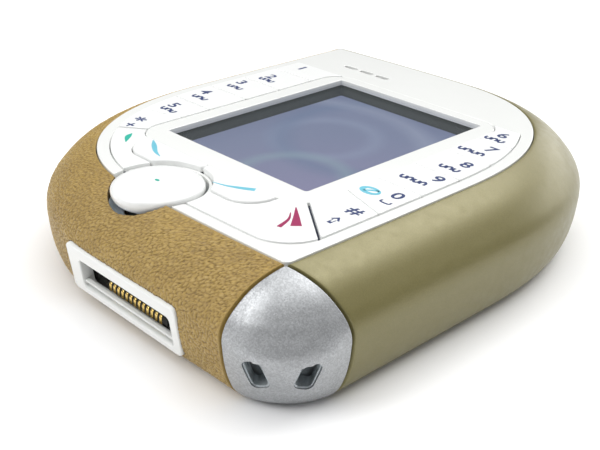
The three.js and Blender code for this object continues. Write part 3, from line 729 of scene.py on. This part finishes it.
def pebble_shape(p, n, depth, lengths, rise):
    """Sinks the valleys of the leather's grain, and leaves it smooth along the cover's edges."""
    u = lengths + 200
    v = np.repeat(rise[:, None], p.shape[1], 1)
    coarse = pebbles(u + 0.5 * v, v - 0.5 * u + 400, 0.8, 11, 0.85)
    fine = pebbles(u, v + 80, 0.42, 12)
    waves = np.sin(u * 0.53 + 1.1 * np.sin(v * 0.37)) * np.sin(v * 0.61 + 0.8 * np.sin(u * 0.31))
    height = (0.72 * coarse + 0.28 * fine) * (0.875 + 0.125 * waves)
    span = lengths[:, -1:]
    near = np.minimum(np.minimum(lengths, span - lengths), np.minimum(v, rise[-1] - v))
    fade = np.clip((near - 0.1) / 0.35, 0, 1)
    height = height * fade + 0.5 * (1 - fade)
    return p, depth + LEATHER_DEPTH * (1 - height) * fade, height


def cap_shape(p, n, depth, lengths, rise):
    """Swells the brow above the crease and leans the band under it inwards, most at its middle."""
    off_middle = np.abs(2 * lengths / lengths[:, -1:] - 1)
    sag = np.clip(1 - off_middle ** 1.5, 0, 1)
    drop = CREASE - CREASE_SAG * sag - p[..., 2]
    groove = GROOVE * np.clip(1 - drop / GROOVE_H, 0, 1) * (drop > 0) * sag ** 0.4
    slope = BAND_STEP * np.clip(drop / STEP_H, 0, 1) + BAND_SLOPE * np.clip(drop, 0, BAND_H) + groove
    fade = np.clip(1 - off_middle ** 5, 0, 1) * (0.35 + 0.65 * sag) * np.clip(p[..., 2] / FOOT_H, 0, 1)
    outward = n * [1, 1, 0]
    outward /= np.maximum(np.linalg.norm(outward, axis=2), 1e-6)[..., None]
    bulge = BROW * sag * np.clip(1 + drop / BROW_H, 0, 1) ** 1.6 * (drop < 0)
    return p + outward * (bulge - slope * fade)[..., None], depth, np.full(depth.shape, 0.6)


SEAM_GAP, WIDEST, CAP_SHARP, COVER_SHARP = 0.46, 38.19, 28, 50


def cover(name, sign, rows, columns, look, slot, node_name, body, shape=None):
    """One side cover. Sign +1 is the lower left one, -1 the upper right one."""
    start = (-sign * APEX, (SEAM_RIGHT + 180) if sign > 0 else SEAM_RIGHT)
    end = (sign * APEX, SEAM_LEFT if sign > 0 else SEAM_LEFT + 180)
    verts, faces, grain = skin_mesh(COVER_ROWS, start, end, rows, columns, shape)
    obj = piece(name, verts, faces, body, look, slot, [node_name], COVER_SHARP)
    obj.data.attributes.new("grain", "FLOAT", "POINT").data.foreach_set("value", grain.astype(np.float32))
    return obj


def cap(name, sign, node_name):
    """One tip cap. Sign +1 is the lower right one, -1 the upper left one."""
    apex = sign * (APEX + SEAM_GAP * ray(math.radians((SEAM_RIGHT + SEAM_LEFT) / 2)))
    start = (apex, SEAM_LEFT if sign > 0 else SEAM_LEFT + 180)
    end = (apex, SEAM_RIGHT if sign > 0 else SEAM_RIGHT + 180)
    verts, faces, _ = skin_mesh(CAP_ROWS, start, end, 150, 130, cap_shape)
    verts[:, 0] = np.clip(verts[:, 0], -WIDEST, WIDEST)
    return piece(name, verts, faces, "handset", silver, "silver", [node_name], CAP_SHARP)


leather_rows = 130
leather_cover = cover("leather_skin", 1, leather_rows, 560, leather, "leather", "leather_cover",
                      "left_cover", pebble_shape)
satin_cover = cover("satin_skin", -1, 70, 300, khaki, "satin_khaki", "satin_cover", "right_cover")
strap_tip = cap("strap_tip", 1, "strap_tip_cap")
cap("upper_tip", -1, "upper_tip_cap")


# ---------------- the socket's frame and its hole
FRONT_Y, NOTCH_FLOOR = 43.75, 13.3


def port_place(verts):
    """Stands a plate drawn flat up in the front, leaning as the frame leans."""
    angle = 90 + PORT["tilt"]
    yz = turn(verts[:, 1:], angle)
    c, s = math.cos(math.radians(angle)), math.sin(math.radians(angle))
    lowest = PORT["h"] / 2 * c - PORT["depth"] * s
    return np.stack([verts[:, 0] + PORT["x"], yz[:, 0] - FRONT_Y - lowest, yz[:, 1] + PORT["z"]], 1)


port_rim = block(0, 0, PORT["w"], PORT["h"], 1.0)
port_hole = rounded(-9.9, 11.1, -2.75, 1.75, 0.5)
port_ledge = rounded(-9.9, 11.1, -2.12, -1.66, 0.2)
plate("port_frame_bright", [soften(port_rim, 0.12, 0.12), soften(port_hole, 0.1, 0.08)], 0, PORT["depth"],
      "left_cover", white, "white_shell", ["port_frame"], 0.3, port_place, steps=5)
plate("port_ledge", [soften(port_ledge, 0.1, 0.05)], PORT["depth"] - 0.95, PORT["depth"] - 0.3,
      "left_cover", white, "white_shell", bevel=0.15, place=port_place)
hole_verts, hole_faces = prism(block(0, 0, PORT["w"] + 0.12, PORT["h"] + 0.12, 1.06), -6, 6)
notch = prism(circle(DISC, COVER_NOTCH_R, 160), NOTCH_FLOOR, 25)
carve(leather_cover, tool(port_place(hole_verts), hole_faces), tool(*notch), sharp=COVER_SHARP)


def power_place(verts):
    return np.stack([verts[:, 0], verts[:, 2], POWER["z"] - verts[:, 1]], 1)


power_verts, power_faces = prism(block(POWER["x"], 0, POWER["w"] + 0.24, POWER["h"] + 0.24, 1.3), 38, 48)
carve(satin_cover, tool(power_place(power_verts), power_faces), sharp=COVER_SHARP)

# ---------------- strap slots in the lower tip
TIP_MIDDLE, SLOT_SIDE, SLOT_Z, SLOT_LEAN = -3.7, 3.1, 6.2, 20
SLOT_W, SLOT_H = 2.5, 4.4
TIP_FRONT, TIP_ROUND, TIP_CROWN, CROWN_Z, SET_BACK, BAND_TOP = 52.89, 0.0625, 0.034, 8, 0.83, 8.4
POCKET_OUT, POCKET_R, POCKET_HALF = 49.2, 8.5, 0.62
# The rim's section as [inset, how far it stands proud of the tip], and None where it meets the pocket.
RIM_SECTION = [
    [-0.04, None], [-0.04, -0.02], [0.02, 0.06], [0.12, 0.05], [0.24, -0.08], [0.27, -0.5], [0.27, None]]


def slot_place(verts, side):
    """Stands a flat outline up on the diagonal, facing out of the lower right tip."""
    flat = turn(verts, -side * SLOT_LEAN)
    return on_diagonal(TIP_MIDDLE + side * SLOT_SIDE + flat[:, 0], verts[:, 2], SLOT_Z + flat[:, 1])


def tip_front(off, rise):
    """How far out the silver tip stands at a place off its middle and above the back."""
    set_back = SET_BACK * (BAND_STEP + BAND_SLOPE * np.maximum(BAND_TOP - rise, 0))
    return TIP_FRONT - TIP_ROUND * off ** 2 - TIP_CROWN * (rise - CROWN_Z) ** 2 - set_back


for side, name in ((-1, "slot_rim_left"), (1, "slot_rim_right")):
    outline = block(0, 0, SLOT_W, SLOT_H, 0.85)
    verts, faces = prism(outline, 40, 62)
    carve(strap_tip, tool(slot_place(verts, side), faces), sharp=CAP_SHARP)
    rings = []
    for inset, proud in RIM_SECTION:
        loop = soften(outline, 0.12, 0.1)
        loop = loop + inward(loop) * inset
        flat = turn(loop, -side * SLOT_LEAN)
        front = tip_front(side * SLOT_SIDE + flat[:, 0], SLOT_Z + flat[:, 1])
        out = np.full(len(loop), POCKET_OUT) if proud is None else front + proud
        rings.append(np.column_stack([loop, out]))
    verts, faces = loft_mesh(rings)
    piece(name, slot_place(verts, side), faces, "handset", pocket_grey, "silver")

# A bent strip closes the pocket behind the slots.
bend = np.linspace(-POCKET_HALF, POCKET_HALF, 40)
outer, inner = [np.stack([TIP_MIDDLE + POCKET_R * np.sin(bend), out - POCKET_R * (1 - np.cos(bend))], 1)
                for out in (POCKET_OUT + 0.2, POCKET_OUT - 0.6)]
verts, faces = plate_mesh([np.concatenate([outer, inner[::-1]])[::-1]], 3.2, 9.2, 0.15)
piece("strap_pocket", on_diagonal(*verts.T), [f[::-1] for f in faces], "handset", pocket_grey, "silver")

# ---------------- white face
key_leaf = leaf(KEY_A, KEY_B, 6)
FAR = 60
KEYS_END = ROWS[0] + 0.05
below_keys = region([key_leaf, np.array([[-FAR, -FAR], [FAR, -FAR], [FAR, KEYS_END], [-FAR, KEYS_END]])])[0]


def bezel_outline(grow):
    return rounded(BEZEL["x0"] - grow, BEZEL["x1"] + grow, BEZEL["y0"] - grow, BEZEL["y1"] + grow,
                   BEZEL["r"] + grow, 24)


ear_slots = [block(EARPIECE_AT[0] + dx, EARPIECE_AT[1], 3.2, 1, 0.49) for dx in (-4, 0, 4)]
face_loops = region([leaf(FACE_A - 0.15, FACE_B - 0.15, 0.9)],
                    [below_keys, bezel_outline(0.05), circle(DISC, NOTCH_R, 160), *ear_slots])
plate("face", [soften(p, 0.14, 0.12) for p in face_loops], FACE_FOOT, FACE_TOP, "handset", white,
      "white_shell", ["faceplate"], bevel=0.14)


def window_outline(grow, r):
    return block(WINDOW["x"], WINDOW["y"], WINDOW["w"] + 2 * grow, WINDOW["h"] + 2 * grow, r)


plate("window_frame", [soften(bezel_outline(0), 0.14, 0.12), soften(window_outline(0, 0.4), 0.14, 0.1)],
      BEZEL_FOOT, FACE_TOP + 0.05, "handset", white, "white_shell", ["window_bezel"], bevel=0.16)
plate("window_wall", [soften(window_outline(1.4, 1.0), 0.2), soften(window_outline(0.02, 0.3), 0.14, 0.06)],
      WELL_FLOOR, BEZEL_FOOT - 0.02, "handset", wall_plastic, "dark_plastic", ["display_gasket"], bevel=0.05)

# ---------------- keys
HALF = 0.07


def band(low, high):
    return np.array([[10, low], [40, low], [40, high], [10, high]], float)


hash_gap, call_gap = 0.07, 0.24
digit_cells = {
    "key_6": band(ROWS[1] + HALF, ROWS[0] - 0.05),
    "key_7": band(ROWS[2] + HALF, ROWS[1] - HALF),
    "key_8": band(ROWS[3] + HALF, ROWS[2] - HALF),
    "key_9": band(ROWS[4] + HALF, ROWS[3] - HALF),
    "key_0": np.concatenate([HASH_LINE + [0, hash_gap], [[31, ROWS[4] - HALF], [17, ROWS[4] - HALF]]]),
    "key_hash": np.concatenate([CALL_LINE + [0, call_gap], (HASH_LINE - [0, hash_gap])[::-1]]),
}
left_names = ["key_1", "key_2", "key_3", "key_4", "key_5", "key_star"]
mirror = np.array([-1, 1])
cells = {}
for left_name, (name, cell_shape) in zip(left_names, digit_cells.items()):
    cells[name] = ([cell_shape], [], KEY_TOP)
    cells[left_name] = ([(cell_shape * mirror)[::-1]], [], KEY_TOP)


def about_disc(points):
    return np.stack([2 * DISC[0] - points[:, 0], points[:, 1]], 1)[::-1]


def soft_tab(grow):
    return rounded(DISC[0] + HALF - grow, 15.7 + grow, -28.8 - grow, -15, 4.5 + grow, 16)


cells["key_star"] = ([np.concatenate([
    (HASH_LINE - [0, hash_gap]) * mirror, about_disc(CALL_LINE + [0, call_gap])])], [], KEY_TOP)
call_area = np.concatenate([
    [[DISC[0] + HALF, -FAR], [FAR, -FAR], [FAR, -50.1]], (CALL_LINE - [0, call_gap])[::-1],
    [[DISC[0] + HALF, -8]]])
cells["soft_key_right"] = ([soft_tab(0)], [], SOFT_TOP)
cells["soft_key_left"] = ([about_disc(soft_tab(0))], [], SOFT_TOP)
cells["end_key"] = ([call_area], [soft_tab(TAB_GAP)], CALL_TOP)
cells["send_key"] = ([about_disc(call_area)], [about_disc(soft_tab(TAB_GAP))], CALL_TOP)
ring = leaf(KEY_A - KEY_GAP, KEY_B - KEY_GAP, 6)
notch = circle(DISC, NOTCH_R + KEY_GAP, 160)
for name, (inside, outside, top) in cells.items():
    loop = region([ring, *inside], [*outside, bezel_outline(KEY_GAP), notch])[0]
    reach, bevel, steps = (0.36, 0.3, 5) if top == SOFT_TOP else (0.15, 0.1, 3)
    plate("top_" + name, [soften(loop, 0.12, reach)], KEY_FOOT, top, name, key_white, "key_white", [name],
          bevel, steps=steps)

# A dark seal shows in the wider gap above each call key.
seal = np.concatenate([CALL_LINE + [0, 0.2], (CALL_LINE - [0, 0.2])[::-1]])
for name, strip in (("seal_right", seal), ("seal_left", about_disc(seal))):
    loop = region([ring, strip], [bezel_outline(0.1), notch])[0]
    plate(name, [soften(loop, 0.14, 0.05)], SEAL_FOOT, SEAL_TOP, "handset", navy, "rubber",
          bevel=0.05, steps=2)


# ---------------- marks printed on the keys
def glyph(name, text, x, y, size, top, body, look, stretch=1.0):
    curve = bpy.data.curves.new(name, "FONT")
    curve.body = text
    curve.size = size
    curve.extrude, curve.offset, curve.resolution_u = 0.012, 0.06, 4
    source = new_object(name, curve)
    bpy.context.view_layer.update()
    mesh = bpy.data.meshes.new_from_object(source.evaluated_get(bpy.context.evaluated_depsgraph_get()))
    bpy.data.objects.remove(source)
    co = np.empty(len(mesh.vertices) * 3)
    mesh.vertices.foreach_get("co", co)
    co = co.reshape(-1, 3) * [stretch, 1, 1]
    co += [x, y, top + 0.008] - (co.min(0) + co.max(0)) / 2
    mesh.vertices.foreach_set("co", (co * MM).ravel())
    return settle(new_object(name, mesh), body, look)


def stroke(points, widths, steps=8):
    """The outline of a smooth stroke whose width changes along it."""
    path = smooth_path(np.column_stack([points, widths]), steps)
    way = np.gradient(path[:, :2], axis=0)
    way /= np.linalg.norm(way, axis=1)[:, None]
    side = np.stack([-way[:, 1], way[:, 0]], 1) * path[:, 2:] / 2
    return np.concatenate([path[:, :2] - side, (path[:, :2] + side)[::-1]])


def mark(name, loops, top, body, look):
    """A printed mark: a thin film that stands just proud of the surface."""
    return piece(name, *stack_mesh(loops, [(0, top - 0.004), (0, top + 0.02)]), body, look, "key_white")


# Each key's digit and its place, then the place and number of the letter-like strokes under it.
legends = {
    "6": (22.0, 18.9, 22.0, 16.5, 3), "7": (24.4, 12.6, 22.6, 9.9, 4), "8": (25.6, 5.0, 24.6, 2.2, 3),
    "9": (26.2, -2.2, 23.9, -5.0, 4), "0": (26.2, -10.8, 0, 0, 0), "hash": (25.7, -18.8, 0, 0, 0),
    "1": (-24.8, 19.4, 0, 0, 0), "2": (-24.8, 11.6, -24.0, 9.6, 3), "3": (-25.8, 5.3, -24.6, 2.6, 3),
    "4": (-25.8, -3, -24.2, -5.6, 3), "5": (-23.9, -11.3, -22.7, -13.4, 3), "star": (-21.9, -19.5, 0, 0, 0)}
for key, (x, y, *_) in legends.items():
    text = {"hash": "#", "star": "*"}.get(key, key)
    glyph("digit_" + key, text, x, y, 3.915 if text == "*" else 2.835, KEY_TOP, "key_" + key, ink_navy, 1.3)
bowl = np.array([[-0.42, 0.5], [-0.42, -0.1], [0, -0.5], [0.42, -0.1], [0.42, 0.5]])
bowl, arch = [stroke(points, [0.42] * 5, 4) for points in (bowl, bowl * [1, -1])]
for key, (_, _, x, y, number) in legends.items():
    for k in range(number):
        shift = np.array([x + 1.2 * (k - (number - 1) / 2), y])
        mark(f"tick_{key}_{k + 1}", [(arch if k % 2 else bowl) + shift], KEY_TOP, "key_" + key, ink_navy)
dot = circle([0, 0], 1, 40)
mark("mark_space", [stroke([[25.6, -13.2], [25.7, -13.8], [27.1, -13.8], [27.2, -13.2]], [0.3] * 4, 5)],
     KEY_TOP, "key_0", ink_navy)
mark("mark_ring", [dot * [1.75, 1.15] + [22.4, -12.3], dot * [1.05, 0.55] + [22.55, -12.2]],
     KEY_TOP, "key_0", ink_sky)
mark("mark_ring_bar", [stroke([[21.6, -12.9], [22.5, -12.1], [23.5, -11.6]], [0.25, 0.5, 0.3])],
     KEY_TOP, "key_0", ink_sky)
arrow = turn(np.array([
    [-1.1, -0.35], [0.1, -0.35], [0.1, -0.8], [1.1, 0], [0.1, 0.8], [0.1, 0.35], [-1.1, 0.35]]), 90)
mark("mark_shift", [
    soften(arrow + [25.7, -22.6], 0.08, 0.05), soften(arrow * 0.55 + [25.7, -22.62], 0.06, 0.04)],
    KEY_TOP, "key_hash", ink_navy)
plus = np.array([[-0.18, -0.8], [0.18, -0.8], [0.18, -0.18], [0.8, -0.18], [0.8, 0.18], [0.18, 0.18],
                 [0.18, 0.8], [-0.18, 0.8], [-0.18, 0.18], [-0.8, 0.18], [-0.8, -0.18], [-0.18, -0.18]])
mark("mark_plus", [plus + [-20.9, -22.2]], KEY_TOP, "key_star", ink_navy)
strokes = {
    "mark_end_1": ([[19.5, -23.6], [21.4, -25.3], [23.6, -27.4]], [0.15, 0.75, 1.5], "end_key", ink_pink),
    "mark_end_2": ([[20.2, -25.2], [21.5, -26.8], [22.3, -29.2]], [0.12, 0.4, 0.7], "end_key", ink_pink),
    "mark_send_1": ([[-17.6, -24.2], [-16.9, -25.4], [-15.2, -27.0]], [0.15, 0.95, 0.15],
                    "send_key", ink_teal),
    "mark_soft_right": ([[6.2, -27.1], [8.4, -26.5], [10.4, -25.5], [12.2, -24.4]],
                        [0.12, 0.4, 0.75, 0.9], "soft_key_right", ink_sky),
    "mark_soft_left": ([[-12.3, -23.9], [-10.4, -25.1], [-8.2, -26.4], [-6.3, -27.0]],
                       [0.15, 0.8, 0.6, 0.12], "soft_key_left", ink_sky)}
for name, (points, widths, key, ink) in strokes.items():
    mark(name, [stroke(points, widths)], cells[key][2], key, ink)

# ---------------- navigation disc and its collar
disc_profile = smooth_path([
    [3.3, 15.8], [5.2, 15.82], [5.95, 16.0], [6.35, 16.4], [6.56, 16.86], [6.66, 17.3], [6.62, 17.72],
    [6.4, 18.06], [6.0, 18.29], [5.5, 18.4], [4.5, 18.47], [3.0, 18.53], [1.5, 18.56]], 6)
turned("disc", DISC, [[0, 16.5], [3.3, 16.5], *disc_profile, [0, DISC_TOP - 0.04]], "nav_disc", key_white,
       "key_white", ["nav_disc"], 180)
mark("disc_dot", [circle([0, 0], 1, 24) * [0.42, 0.26] + DISC - [0.1, 0]], DISC_TOP - 0.03, "nav_disc",
     ink_teal)
collar_profile = smooth_path([
    [5.0, 13.75], [6.55, 13.75], [6.85, 14.1], [6.96, 14.95], [6.96, 15.5], [6.87, 15.62], [6.6, 15.3],
    [6.2, 14.85], [5.6, 14.55], [5.0, 14.4]], 4, closed=True)
turned("collar", DISC, collar_profile, "handset", milky, "clear_collar", ["nav_dish"], 120)


def arc_wall(name, r0, r1, start, end, z0, z1, look, slot):
    way = ray(np.radians(np.linspace(start, end, 60)))
    loop = np.concatenate([DISC + r1 * way, DISC + r0 * way[::-1]])
    plate(name, [loop], z0, z1, "handset", look, slot, bevel=0.08, steps=2)


arc_wall("dish_wall", 7.12, NOTCH_R - 0.02, 2, 178, 14.6, 17.6, white, "white_shell")
arc_wall("collar_spot", 6.86, 6.97, 196, 212, 15.0, 16.3, ink_blue, "clear_collar")

# ---------------- back: plate, bay, battery and its cover
BAY_GAP = 0.4


def bay_outline(grow, r):
    grow = 2 * (BAY_GAP + grow)
    return block(BATTERY["x"], BATTERY["y"], BATTERY["w"] + grow, BATTERY["h"] + grow, r, 16)


def bay_solid(grow, z0, z1):
    x, y, half_w, half_h = BATTERY["x"], BATTERY["y"], BATTERY["w"] / 2 + grow, BATTERY["h"] / 2 + grow
    return box_mesh(x - half_w, x + half_w, y - half_h, y + half_h, z0, z1)


def turn_over(verts):
    """Mirrors a plate drawn from z = 0 up, so that its rounded edge faces down."""
    return verts * [1, -1, -1]


def under_plate(name, loops, z0, z1, body, look, slot, replaces=(), bevel=0.05):
    return plate(name, loops, z0, z1, body, look, slot, replaces, bevel, turn_over)


over = np.array([1, -1])
speaker_holes = [block(SPEAKER_AT[0], SPEAKER_AT[1] + dy, 6, 0.9, 0.44) for dy in (-2.4, 0, 2.4)]
back_loops = [leaf_at(0.42, 5), bay_outline(2, 4), circle(CAMERA_AT, 5.15, 64), *speaker_holes,
              *[circle(s, 2, 40) for s in SCREWS]]
under_plate("back_plate", [soften(p * over, 0.2, 0.12) for p in back_loops], -1.9, 0, "handset",
            grey_plastic, "grey_plastic", ["rear_chassis"], 0.15)
under_plate("bay_ledge", [soften(bay_outline(2.6, 4.6) * over, 0.3), soften(bay_outline(0, 1) * over, 0.3)],
            -1.88, -1.0, "handset", grey_plastic, "grey_plastic")
bay_box = piece("bay_box", *bay_solid(BAY_GAP + 1.2, 1.9, 8.2), "handset", grey_plastic, "grey_plastic")
carve(bay_box, tool(*bay_solid(BAY_GAP, -1, 7.7)))

grips = [soften(block(0, y, 14, 0.7, 0.34), 0.12, 0.06) for y in (28.2, 29.6, 31.0)]
under_plate("battery_door", [soften(bay_outline(1.85, 3.85) * over, 0.2, 0.1), *grips], -0.8, -0.02,
            "battery_cover", khaki, "satin_khaki", ["battery_cover"], 0.2)
under_plate("door_grip", [soften(rounded(-8.2, 8.2, 27.3, 31.9, 0.8), 0.2)], -0.95, -0.42, "battery_cover",
            dark_plastic, "dark_plastic", bevel=0.1)
cell_outline = block(BATTERY["x"], BATTERY["y"], BATTERY["w"], BATTERY["h"], 1.2)
under_plate("cell", [soften(cell_outline * over, 0.3)], -7.4, -1.9, "battery", cell, "battery_label",
            ["battery"], 0.5)

head = smooth_path([[0.001, 0.22], [1.2, 0.22], [1.55, 0.28], [1.7, 0.45], [1.7, 0.6]], 3)[1:]
screw_profile = [[0, 0.22], *head, [1.0, 0.6], [1.0, 12], [0, 12]][::-1]
for k, (x, y) in enumerate(SCREWS):
    screw = turned(f"screw_{k + 1}", (x, y), screw_profile, "handset", tin, "tin",
                   [f"case_screw_{k + 1}"], 40)
    for w, h in ((0.35, 1.9), (1.9, 0.35)):
        carve(screw, tool(*box_mesh(x - w / 2, x + w / 2, y - h / 2, y + h / 2, -0.2, 0.45)))

ring_profile = [[3.25, 1.5], [3.2, 1.0], [3.35, 0.55], [3.9, 0.22], [4.5, 0.05], [4.85, 0.12], [4.98, 0.45],
                [5, 1.1], [4.9, 1.6]]
lens_profile = smooth_path([[2.9, 1.15], [2.9, 0.65], [2.7, 0.45], [2.0, 0.36], [1.0, 0.31]], 4)
tunnel = [[1.5, 1.4], [2.9, 1.3], [3.1, 1.3], [3.1, 1.9], [1.3, 1.9]]
turned("camera_ring", CAMERA_AT, smooth_path(ring_profile, 4, closed=True)[::-1], "handset", silver,
       "silver", ["camera_bezel"])
turned("camera_lens", CAMERA_AT, [[0, 1.15], *lens_profile, [0, 0.3]][::-1], "handset", camera_glass,
       "clear", ["camera_window"], 72)
turned("camera_iris", CAMERA_AT, smooth_path(tunnel, 3, closed=True), "handset", dark_plastic,
       "dark_plastic", sides=72)


# ---------------- chassis tub behind the covers
def tub_solid(table):
    rows, _ = smooth_rows(table, np.linspace(0, 1, 16))
    return rings_mesh([at_height(leaf_at(share, max(corner, 0.8), 1), z) for z, share, corner in rows])


TUB_ROWS = [[1.95, 0.42, 5.5], [2.1, 0.49, 5.5], [3.7, 0.64, 6], [6, 0.715, 6.4], [10, 0.745, 6.4],
            [11.4, 0.65, 5.4], [13.2, 0.45, 3.6], [15.4, 0.12, 1.6]]
INNER_TUB = [[1.5, 0.26, 4], [2.1, 0.33, 4], [3.7, 0.48, 4.5], [6, 0.555, 4.9], [10, 0.585, 4.9],
             [11.4, 0.49, 3.9], [13.2, 0.29, 2.1], [15.6, -0.04, 0.8]]


def tip_block(setback):
    """Everything beyond a plane across the lower right tip."""
    verts, faces = box_mesh(-40, 40, setback, setback + 40, 1.6, 25)
    return tool(on_diagonal(*verts.T), [f[::-1] for f in faces])


tub = piece("chassis_tub", *tub_solid(TUB_ROWS), "handset", grey_plastic, "grey_plastic")
hollow = tool(*tub_solid(INNER_TUB))
carve(tub, tip_block(46.4))
carve(hollow, tip_block(45.1))
port_half = PORT["w"] / 2 + 0.3
port_space = box_mesh(PORT["x"] - port_half, PORT["x"] + port_half, -60, -30, 2.2, 10.6)
disc_space = prism(circle(DISC, NOTCH_R + 0.2, 96), 13.2, 25)
carve(tub, tool(*disc_space), hollow, tool(*port_space), tool(*box_mesh(-6.8, 2.8, 30, 60, 7.2, 10.8)))

# ---------------- power key and socket contacts
plate("power_bar", [soften(block(POWER["x"], 0, POWER["w"], POWER["h"], 1.2, 16), 0.1, 0.08)], 42.1, 43.7,
      "power_key", silver, "silver", ["power_key"], bevel=0.45, place=power_place, steps=6)

TONGUE_X, PITCH, CONTACTS = 7.0, 0.98, 13
# One contact is a flat strip that follows a path of [y, z], hooked over the tongue's front edge.
path = smooth_path([
    [-41.62, 4.5], [-41.6, 5.3], [-41.45, 5.62], [-41.1, 5.74], [-38.0, 5.74], [-35.5, 5.74]], 4)
way = np.gradient(path, axis=0)
way /= np.linalg.norm(way, axis=1)[:, None]
section = rounded(-0.26, 0.26, -0.09, 0.09, 0.07, 4)
finger = np.concatenate([
    np.stack([section[:, 0], p[0] - w[1] * section[:, 1], p[1] + w[0] * section[:, 1]], 1)
    for p, w in zip(path, way)])
n, last = len(section), len(path) - 1
comb_verts, comb_faces = [], []
for k in range(CONTACTS):
    first = k * len(finger)
    comb_verts.append(finger + [TONGUE_X + (k - (CONTACTS - 1) / 2) * PITCH, 0, 0])
    for level in range(last):
        comb_faces += [f[::-1] for f in side_quads(first + level * n, first + (level + 1) * n, n)]
    comb_faces.append(list(range(first, first + n)))
    comb_faces.append(list(range(first + last * n, first + (last + 1) * n))[::-1])
piece("contacts", np.concatenate(comb_verts), comb_faces, "handset", gold, "gold", ["contact_comb"])

# ---------------- CAD nodes that keep their shape
kept = {
    dark_plastic: ["camera_module", "loudspeaker", "earpiece", "microphone", "processor", "socket_tongue",
                   "nav_switch", "power_switch"],
    grey_plastic: ["nav_stem", "nav_hub"],
    clear: ["window_lens"],
    screen: ["display_panel"],
    board: ["main_board", "keypad_board"],
    tin: ["display_frame", "radio_shield", "power_shield", "sim_holder", "socket_shell", "vibration_motor"],
    gold: ["antenna"],
    rubber: ["key_mat"],
    card: ["sim_card"],
}
for look, names in kept.items():
    for name in names:
        nodes[name].data.materials.clear()
        nodes[name].data.materials.append(look)

# ---------------- floor and light
ground = Look("floor_white")
floor_tone = ground.blend(ground.noise(6, 2), (0.93, 0.93, 0.93), (0.95, 0.95, 0.95))
floor_look = ground.finish(Base_Color=floor_tone, Roughness=0.9, Specular_IOR_Level=0.1)
FLOOR_HALF = 3000
floor_corners = FLOOR_HALF * np.array([[-1, -1, 0], [1, -1, 0], [1, 1, 0], [-1, 1, 0]])
floor = mesh_object("floor", floor_corners, [[0, 1, 2, 3]])
floor.data.materials.append(floor_look)

world = bpy.data.worlds.new("studio")
bpy.context.scene.world = world
studio = Nodes(world)
height = studio.node("SeparateXYZ", {0: studio.places["Generated"]}).outputs[2]
sky = studio.blend(studio.spread(height, 0, 1, 0.1, 0.8), (0.20, 0.20, 0.21), (1.15, 1.15, 1.15))
background = studio.node("Background", {"Color": sky, "Strength": 0.5})
studio.node("OutputWorld", {"Surface": background.outputs[0]})


def softbox(name, location, target, size, power):
    """A rectangular light aimed at a place."""
    light = bpy.data.lights.new(name, "AREA")
    light.shape = "RECTANGLE"
    light.size, light.size_y = size
    light.energy = power
    obj = new_object(name, light)
    obj.location = location
    way = Vector(target) - Vector(location)
    obj.rotation_euler = way.to_track_quat("-Z", "Y").to_euler()


softbox("key_light", (-0.22, -0.44, 0.37), (0, 0, 0), (0.3, 0.3), 1.55)
softbox("top_light", (0.0, 0.05, 0.65), (0, 0, 0), (0.9, 0.9), 3.4)
softbox("back_light", (0.06, 0.40, 0.46), (0, 0, 0), (0.36, 0.28), 1.25)
softbox("rim_light", (0.05, 0.60, 0.14), (0, 0, 0.01), (0.5, 0.2), 0.9)

bpy.context.scene.view_settings.view_transform = "Standard"
